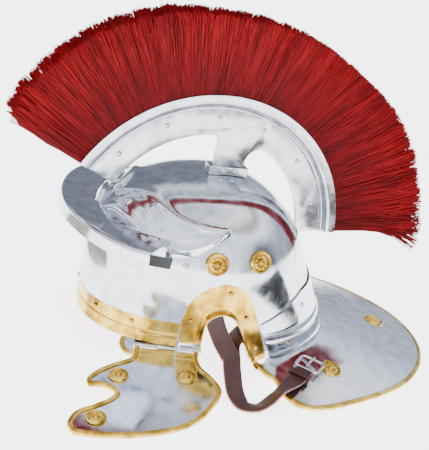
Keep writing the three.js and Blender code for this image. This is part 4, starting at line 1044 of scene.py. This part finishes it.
def makeStrands(name, side):
    s = hairSet
    rng = np.random.default_rng(s["seed"] + side)
    count = s["strands"]
    share = rng.random(count)
    root = crestSet["rear"] + 0.6 + (crestSet["front"] - crestSet["rear"] - 1.2) * share
    lock = np.floor(share * s["locks"]).astype(int)
    lockLean = rng.normal(0, 0.5, s["locks"])[lock]
    lockSpot = (lock + 0.5) / s["locks"]
    gather = (lockSpot - share) * (crestSet["front"] - crestSet["rear"]) * rng.uniform(0.0, 0.35, count)
    loose = np.clip((s["napeShare"] - share) / s["napeShare"], 0, 1)
    droop = s["napeDroop"] * loose * rng.random(count)  # the loose lock at the nape
    lean = lockLean + gather + rng.normal(0, 0.7, count)
    depth = rng.random(count) ** 0.6
    rootAcross = side * s["rootHalf"] * depth
    tipAcross = side * s["tipHalf"] * depth * rng.uniform(0.9, 1.0, count)
    tipTurn = root + lean + droop
    reach = np.interp(tipTurn, hairReach[:, 0], hairReach[:, 1]) * (1 - np.abs(rng.normal(0, 0.009, count)))
    reach += 1.0 * np.sin(lock * 2.1) - 0.5
    curl = rng.normal(0, 0.7, count)
    t = np.linspace(0, 1, s["points"])[None]
    radius = s["strandRoot"] + (reach[:, None] - s["strandRoot"]) * t
    degrees = root[:, None] + lean[:, None] * t ** 1.5 + curl[:, None] * np.sin(np.pi * t)
    degrees = degrees + droop[:, None] * t ** 3
    spread = np.clip((radius - s["spreadFrom"]) / s["spreadOver"], 0, 1) ** 0.8
    across = rootAcross[:, None] + (tipAcross - rootAcross)[:, None] * spread
    points = toFrame(crestPlace(degrees, radius, across))
    data = bpy.data.curves.new(name, "CURVE")
    data.dimensions = "3D"
    data.bevel_depth = s["thickness"] * 0.0005
    data.bevel_resolution = 0
    data.use_fill_caps = False
    thin = np.array([1.0, 1.0, 1.0, 0.95, 0.55])
    for strand in points:
        spline = data.splines.new("POLY")
        spline.points.add(s["points"] - 1)
        spline.points.foreach_set("co", np.column_stack([strand, np.ones(s["points"])]).ravel())
        spline.points.foreach_set("radius", thin)
    curve = addObject(name + "Curve", data)
    mesh = bpy.data.meshes.new_from_object(curve.evaluated_get(bpy.context.evaluated_depsgraph_get()))
    bpy.data.objects.remove(curve)
    mesh.materials.clear()
    mesh.materials.append(hair)
    mesh.shade_smooth()
    thing = addObject(name, mesh)
    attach(thing, "helmet")


makeCore()
makeStrands("plumeStrandsLeft", 1)
makeStrands("plumeStrandsRight", -1)
print("hair made")


# rosettes and rivets

rosetteSet = {
    "radius": 11.3, "cheekRadius": 9.5, "height": 4.4, "petals": 10,
    "bowl": {"front": (-32, 119, 2), "rear": (11, 124, 1)},  # back, height, seats off the bowl
    "cheek": {"upper": (-0.32, 0.4), "rear": (0.14, 0.35), "lower": (-0.43, 0.84)},  # shares of width and length
    "neck": {"left": (0.2, 0.55), "rear": (0.5, 0.36), "right": (0.8, 0.55)},  # shares along the rim and inward
}
rivetSet = {
    "ear": ((0.16, 0.6), (0.47, 0.72), (0.66, 0.5), (0.86, 0.5)), "bandTurns": (18, 42), "bandShare": 0.72,
    "tab": (-60, 113), "crestTurns": (140, 116, 92, 69, 45, 21), "crestReach": 126.5, "socketBacks": (-8, 4),
    "socketAcross": 6.5, "socketHeight": 178.5, "neckTurns": (133, 227), "neckHeight": 70,
}
rosetteProfile = [  # share of the radius, share of the height
    (0, 1), (0.1, 0.97), (0.19, 0.82), (0.25, 0.5), (0.3, 0.34), (0.36, 0.42), (0.46, 0.56), (0.56, 0.6),
    (0.65, 0.5), (0.71, 0.34), (0.76, 0.36), (0.81, 0.58), (0.87, 0.64), (0.93, 0.5), (0.98, 0.25), (1, 0.06), (1, 0),
]


def makeRosette(name, body, place, normal, radius):
    bm = bmesh.new()
    verts = [bm.verts.new((r * radius * 0.001, 0, h * rosetteSet["height"] * 0.001)) for r, h in rosetteProfile]
    edges = [bm.edges.new(pair) for pair in zip(verts, verts[1:])]
    bmesh.ops.spin(bm, geom=verts + edges, cent=(0, 0, 0), axis=(0, 0, 1), angle=2 * math.pi, steps=60, use_merge=True)
    bmesh.ops.remove_doubles(bm, verts=bm.verts, dist=1e-6)
    for vert in bm.verts:
        share = math.hypot(vert.co.x, vert.co.y) / (radius * 0.001)
        if 0.3 < share < 0.7:
            turn = math.atan2(vert.co.y, vert.co.x)
            vert.co.z += 0.0005 * math.cos(rosetteSet["petals"] * turn) * math.sin((share - 0.3) / 0.4 * math.pi)
    closeEnds(bm)
    placed(bm, standing(place, normal))
    finishMesh(name, bm, body, brass, [name], sharp=45)


def makeRivets(name, body, material, spots, radius, rise=0.55):
    bm = bmesh.new()
    for place, normal in spots:
        made = bmesh.ops.create_uvsphere(bm, u_segments=16, v_segments=10, radius=radius * 0.001)["verts"]
        placed(bm, standing(place, normal) @ Matrix.Diagonal((1, 1, rise, 1)), made)
    finishMesh(name, bm, body, material)


def bowlSpot(turn, level, off, side=1):  # place and normal over the bowl
    return toFrame(sided(offBowl(turn, level, off), side)), sided(bowlNormal(turn, level), side)


for sideName, side in sides.items():
    for rosette, (behind, height, seats) in rosetteSet["bowl"].items():
        makeRosette(f"bowl_rosette_{rosette}_{sideName}", "helmet",
                    *bowlSpot(*sidePlace(behind, height), seats * seat, side), rosetteSet["radius"])
    for rosette, (along, out) in rosetteSet["cheek"].items():
        x, y = along * cheekSet["width"], out * cheekSet["length"]
        place = toFrame(swung(cheekPlace(x, y, cheekRise(x, y) + sheetWall / 2 + seat), side))
        makeRosette(f"cheek_rosette_{rosette}_{sideName}", "cheek_" + sideName, place, swungWay(cheekAxesNow[0], side),
                    rosetteSet["cheekRadius"])
for rosette, (share, way) in rosetteSet["neck"].items():
    place, normal = neckSkirt(share, way, 2 * seat)
    makeRosette("neck_rosette_" + rosette, "helmet", toFrame(place[0]), normal[0], rosetteSet["radius"])
print("rosettes made")

brassSpots, steelSpots, crestSpots = [], [], []
for side in sides.values():
    for share, way in rivetSet["ear"]:
        inner, outer = (row[0] for row in earStation(np.array([share])))
        brassSpots.append(bowlSpot(*sidePlace(*(inner + (outer - inner) * way)), seat + sheetWall, side))
    for turn in np.radians(rivetSet["bandTurns"]):
        foot = browEdge(-bowlSet["frontReach"] * math.cos(turn))
        level = levelAt(foot + bandSet["height"] * rivetSet["bandShare"])
        brassSpots.append(bowlSpot(turn, level, seat + sheetWall, side))
    steelSpots.append(bowlSpot(*sidePlace(*rivetSet["tab"]), 2 * seat + sheetWall, side))
    spots = [crestPlace(degrees, rivetSet["crestReach"], side * crestSet["plate"] / 2)
             for degrees in rivetSet["crestTurns"]]
    spots += [(side * rivetSet["socketAcross"], behind, rivetSet["socketHeight"]) for behind in rivetSet["socketBacks"]]
    crestSpots += [(toFrame(spot), (side, 0, 0)) for spot in spots]
for turn in np.radians(rivetSet["neckTurns"]):
    steelSpots.append(bowlSpot(turn, levelAt(rivetSet["neckHeight"]), lapped))
makeRivets("trimRivets", "helmet", brass, brassSpots, 2.1)
makeRivets("bowlRivets", "helmet", steel, steelSpots, 2.8, 0.8)
makeRivets("crestRivets", "helmet", steel, crestSpots, 2.6, 0.85)
print("rivets made")


# chin straps, buckle and keeper

strapSet = {
    "width": 18, "thick": 2.5, "dense": 16, "freeEnd": 130, "endCut": 13, "paleEdge": 0.75,
    "buckleLength": 22, "buckleWidth": 27, "wire": 2.6, "keeper": 8, "keeperBack": 16, "keeperRoom": 1.4,
}
floorLine = strapSet["thick"] / 2 + 0.5


def overSkirt(across, back):  # height of a strap's middle where it lies on the skirt
    shares = np.linspace(0, 1, 201)
    rim = neckStation(shares)[0]
    point = neckBase(shares)[2]
    step = (point - rim)[:, :2]
    t = np.clip(np.sum(([across, back] - rim[:, :2]) * step, 1) / np.sum(step ** 2, 1), 0, 1)
    gap = np.linalg.norm(rim[:, :2] + step * t[:, None] - [across, back], axis=1)
    i = int(np.argmin(gap))
    return (rim[i, 2] + neckSet["edging"] / 2) * (1 - t[i]) + (point[i, 2] + 1) * t[i] + seat + strapSet["thick"] / 2


fork = ((110, -1, 27), (0.15, 0.98, 0))
strapRoutes = {  # middle of the strap, and the way in which it is wide
    "front": [((89.5, -24, 84), (0.1, 0.99, -0.1)), ((90, -21, 64), (0.1, 0.98, 0.2)),
              ((97, -12, 44), (0.12, 0.95, 0.25)), fork],
    "rear": [((90, 20, 66), (-0.12, 0.9, -0.3)), ((91, 13, 50), (0.05, 0.8, -0.55)),
             ((94, 4, 38), (0.1, 0.85, -0.4)), fork],
    "main": [((108, -1, 29), (0.15, 0.98, 0)), ((121, -2, 18), (0.15, 0.98, 0)), ((136, -2, 7), (0.1, 0.99, 0)),
             ((149, 2, floorLine + 0.5), (-0.3, 0.95, 0)), ((154, 14, floorLine + 1), (-0.85, 0.5, -0.1)),
             ((151, 25, floorLine + 4.5), (-0.8, -0.35, -0.45)),
             ((146, 37, overSkirt(146, 46) + 4), (-0.72, -0.42, -0.55)),
             ((137, 50, overSkirt(137, 50) + 4), (-0.75, -0.56, -0.35)),
             ((126, 64, overSkirt(126, 64) + 3.4), (-0.78, -0.62, 0)),
             ((113, 79, overSkirt(113, 79) + 3.4), (-0.76, -0.65, 0))],
}


def ribbonFrame(route):
    middle = smoothLine([place for place, _ in route], strapSet["dense"])
    wide = smoothLine([way for _, way in route], strapSet["dense"])
    step = unit(np.gradient(middle, axis=0))
    wide = unit(wide - step * dot(wide, step))
    return middle, wide, unit(np.cross(step, wide))


def makeStrap(sideName, side):
    bm = bmesh.new()
    for routeName, route in strapRoutes.items():
        middle, wide, thick = ribbonFrame(route)
        count = len(middle)
        narrow = np.ones(count)
        if routeName == "main" and side < 0:  # the free end is cut to a rounded point
            left = np.linspace(1, 0, count) * strapSet["freeEnd"]
            narrow = np.clip(np.sqrt(np.clip(left / strapSet["endCut"], 0, 1)), 0.12, 1)

        def place(u, v):
            i = (u * (count - 1)).round().astype(int)
            turn = 2 * np.pi * v
            across = squared(np.cos(turn), 0.45) * strapSet["width"] / 2 * narrow[i]
            high = squared(np.sin(turn), 0.45) * strapSet["thick"] / 2
            return sided(middle[i] + wide[i] * across[:, None] + thick[i] * high[:, None], side)

        part = gridMesh(count - 1, 24, place, True, True)
        closeEnds(part)
        ways = toFrame(sided(middle, side))
        wides = sided(wide, side)
        for face in part.faces:
            centre = np.array(face.calc_center_median())
            i = int(np.argmin(np.linalg.norm(ways - centre, axis=1)))
            out = abs(float(np.dot(centre - ways[i], wides[i]))) * 1000
            face.material_index = int(out > strapSet["width"] / 2 * narrow[i] - strapSet["paleEdge"])
        spare = bpy.data.meshes.new("spare")
        part.to_mesh(spare)
        part.free()
        bm.from_mesh(spare)
        bpy.data.meshes.remove(spare)
    name = "chin_strap_" + sideName
    finishMesh(name, bm, "helmet", [leather, leatherEdge], [name], sharp=50)


def bucklePlace(along, aside, up):
    route = strapRoutes["main"]
    end, before = np.array(route[-1][0], float), np.array(route[-2][0], float)
    way = unit(end - before)
    wide = unit(np.array(route[-1][1], float))
    upWay = unit(np.cross(way, wide))
    upWay = upWay * (-1 if upWay[2] < 0 else 1)
    return end + np.multiply.outer(along, way) + np.multiply.outer(aside, wide) + np.multiply.outer(up, upWay), upWay


def makeBuckle():
    s = strapSet
    near = seat + s["wire"] / 2
    length, half = s["buckleLength"] - s["wire"], (s["buckleWidth"] - s["wire"]) / 2
    turns = np.linspace(0, 2 * np.pi, 72, endpoint=False)
    along = near + length / 2 + length / 2 * squared(np.cos(turns), 0.35)
    aside = half * squared(np.sin(turns), 0.35)
    line, upWay = bucklePlace(along, aside, 0 * turns)
    finishMesh("buckle_frame", tubeMesh(line, s["wire"] / 2, 14, upWay, True), "helmet", steel,
               ["buckle_frame"])
    t = np.linspace(0, 1, 24)
    lift = s["wire"] / 2 + 1.1 + 0.9 * np.sin(np.pi * t)
    line, upWay = bucklePlace(near + (length + 1) * t, 0 * t, lift)
    finishMesh("buckle_prong", tubeMesh(line, 1.15 - 0.45 * t ** 3, 12, upWay), "helmet",
               steel, ["buckle_prong"])
    wide, thick = (s[side] / 2 + s["keeperRoom"] for side in ("width", "thick"))
    steps = 60
    turns = np.linspace(0, 2 * np.pi, steps, endpoint=False)
    ring = np.stack([wide * squared(np.cos(turns), 0.4), thick * squared(np.sin(turns), 0.4)], 1)

    def place(u, v):
        i = (u * steps).round().astype(int) % steps
        return bucklePlace(-s["keeperBack"] + s["keeper"] * v, ring[i, 0], ring[i, 1])[0]

    bm = gridMesh(steps, 6, place, True, True)
    faceAway(bm, Vector(toFrame(bucklePlace(s["keeper"] / 2 - s["keeperBack"], 0, 0)[0])))
    thing = finishMesh("strap_keeper", bm, "helmet", [leather, leatherEdge], ["strap_keeper"])
    thicken(thing, 1.6, 0.2, 0.4)


for sideName, side in sides.items():
    makeStrap(sideName, side)
makeBuckle()
print("straps made")

for name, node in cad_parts.items():  # CAD nodes that stay get the same finishes
    node.data.materials.clear()
    node.data.materials.append(crestSteel if name.startswith("crest") else steel)


# floor and light

lightSet = [  # name, place, size, power
    ("keyPanel", (1.2, -0.9, 1.5), 1.0, 13), ("fillPanel", (1.3, 1.3, 0.9), 1.2, 3),
    ("topPanel", (-0.2, 0.1, 1.9), 1.4, 5),
]
cardSpans = {  # colour, glow, side of the view, span toward the camera, span across
    "cardLeft": ("#8C857A", 1.6, -1, -0.14, 0.1, 0.235, 3), "cardRight": ("#24221F", 0.1, 1, -0.03, 0.3, 0.275, 3),
}
acrossView = Vector((right.x, right.y, 0)).normalized()
towardView = acrossView.cross((0, 0, 1))


def addStage(name, bm, materialName, colour, glowColour, glow):  # matt paper or felt, lit a little from within
    mesh = bpy.data.meshes.new(name)
    bm.to_mesh(mesh)
    bm.free()
    material, _, shader = newMaterial(materialName)
    shader.inputs["Base Color"].default_value = hexColour(colour)
    shader.inputs["Roughness"].default_value = 0.9
    shader.inputs["Emission Color"].default_value = hexColour(glowColour)
    shader.inputs["Emission Strength"].default_value = glow
    mesh.materials.append(material)
    addObject(name, mesh)


bm = bmesh.new()
bmesh.ops.create_grid(bm, x_segments=1, y_segments=1, size=8)
addStage("floor", bm, "paperSweepPale", "#F2F2F2", "#FFFFFF", 3.5)
for name, (colour, glow, side, near, far, start, end) in cardSpans.items():  # cards beside the view, to shape the steel
    spots = [aim + towardView * along + acrossView * across * side
             for along, across in ((near, start), (far, start), (far, end), (near, end))]
    bm = bmesh.new()
    bm.faces.new([bm.verts.new((spot.x, spot.y, 0.002)) for spot in spots])
    bmesh.ops.recalc_face_normals(bm, faces=bm.faces)
    addStage(name, bm, "felt" + name[4:], colour, colour, glow)
for name, place, size, power in lightSet:
    data = bpy.data.lights.new(name, "AREA")
    data.shape = "SQUARE"
    data.size = size
    data.energy = power
    lamp = addObject(name, data)
    lamp.matrix_world = Matrix.Translation(place) @ (Vector(place) - aim).to_track_quat("Z", "Y").to_matrix().to_4x4()
    lamp.visible_glossy = False  # the steel mirrors the room, not the panels' outlines

roomStrength = 2.2
roomTones = [
    (0.0, "#7E848F"), (0.25, "#9DA3AF"), (0.42, "#A8AEBB"), (0.56, "#D6DDEB"), (0.7, "#FFFFFF"), (0.83, "#8E908A"),
    (0.93, "#FFFFFF"), (1.0, "#BFC5CF"),
]
roomPatches = [  # way, where the patch starts and is full, colour
    ((-0.95, 0.05, 0.3), 0.82, 0.92, "#646771"), ((0.66, 0.66, 0.12), 0.8, 0.95, "#222529"),
    ((0.88, -0.43, 0.2), 0.45, 0.85, "#F4F8FF"),
]
world = bpy.data.worlds.new("softRoom")
bpy.context.scene.world = world
world.use_nodes = True
sky = world.node_tree
sky.nodes.clear()
direction = addNode(sky, "ShaderNodeTexCoord").outputs["Generated"]
height = addNode(sky, "ShaderNodeSeparateXYZ", links={"Vector": direction})
tones = addNode(sky, "ShaderNodeValToRGB", {"stops": roomTones}, {"Fac": height.outputs["Z"]})
room = tones.outputs["Color"]
for way, starts, full, colour in roomPatches:
    toward = addNode(sky, "ShaderNodeVectorMath", {"operation": "DOT_PRODUCT", 1: way}, {0: direction})
    patch = addNode(sky, "ShaderNodeMapRange",
                    {"interpolation_type": "SMOOTHSTEP", "From Min": starts, "From Max": full},
                    {"Value": toward.outputs["Value"]})
    room = addNode(sky, "ShaderNodeMix", {"data_type": "RGBA", 7: hexColour(colour)},
                   {0: patch.outputs[0], 6: room}).outputs[2]
backdrop = addNode(sky, "ShaderNodeBackground", {"Strength": roomStrength}, {"Color": room})
addNode(sky, "ShaderNodeOutputWorld", links={"Surface": backdrop.outputs[0]})
print("floor and light set")
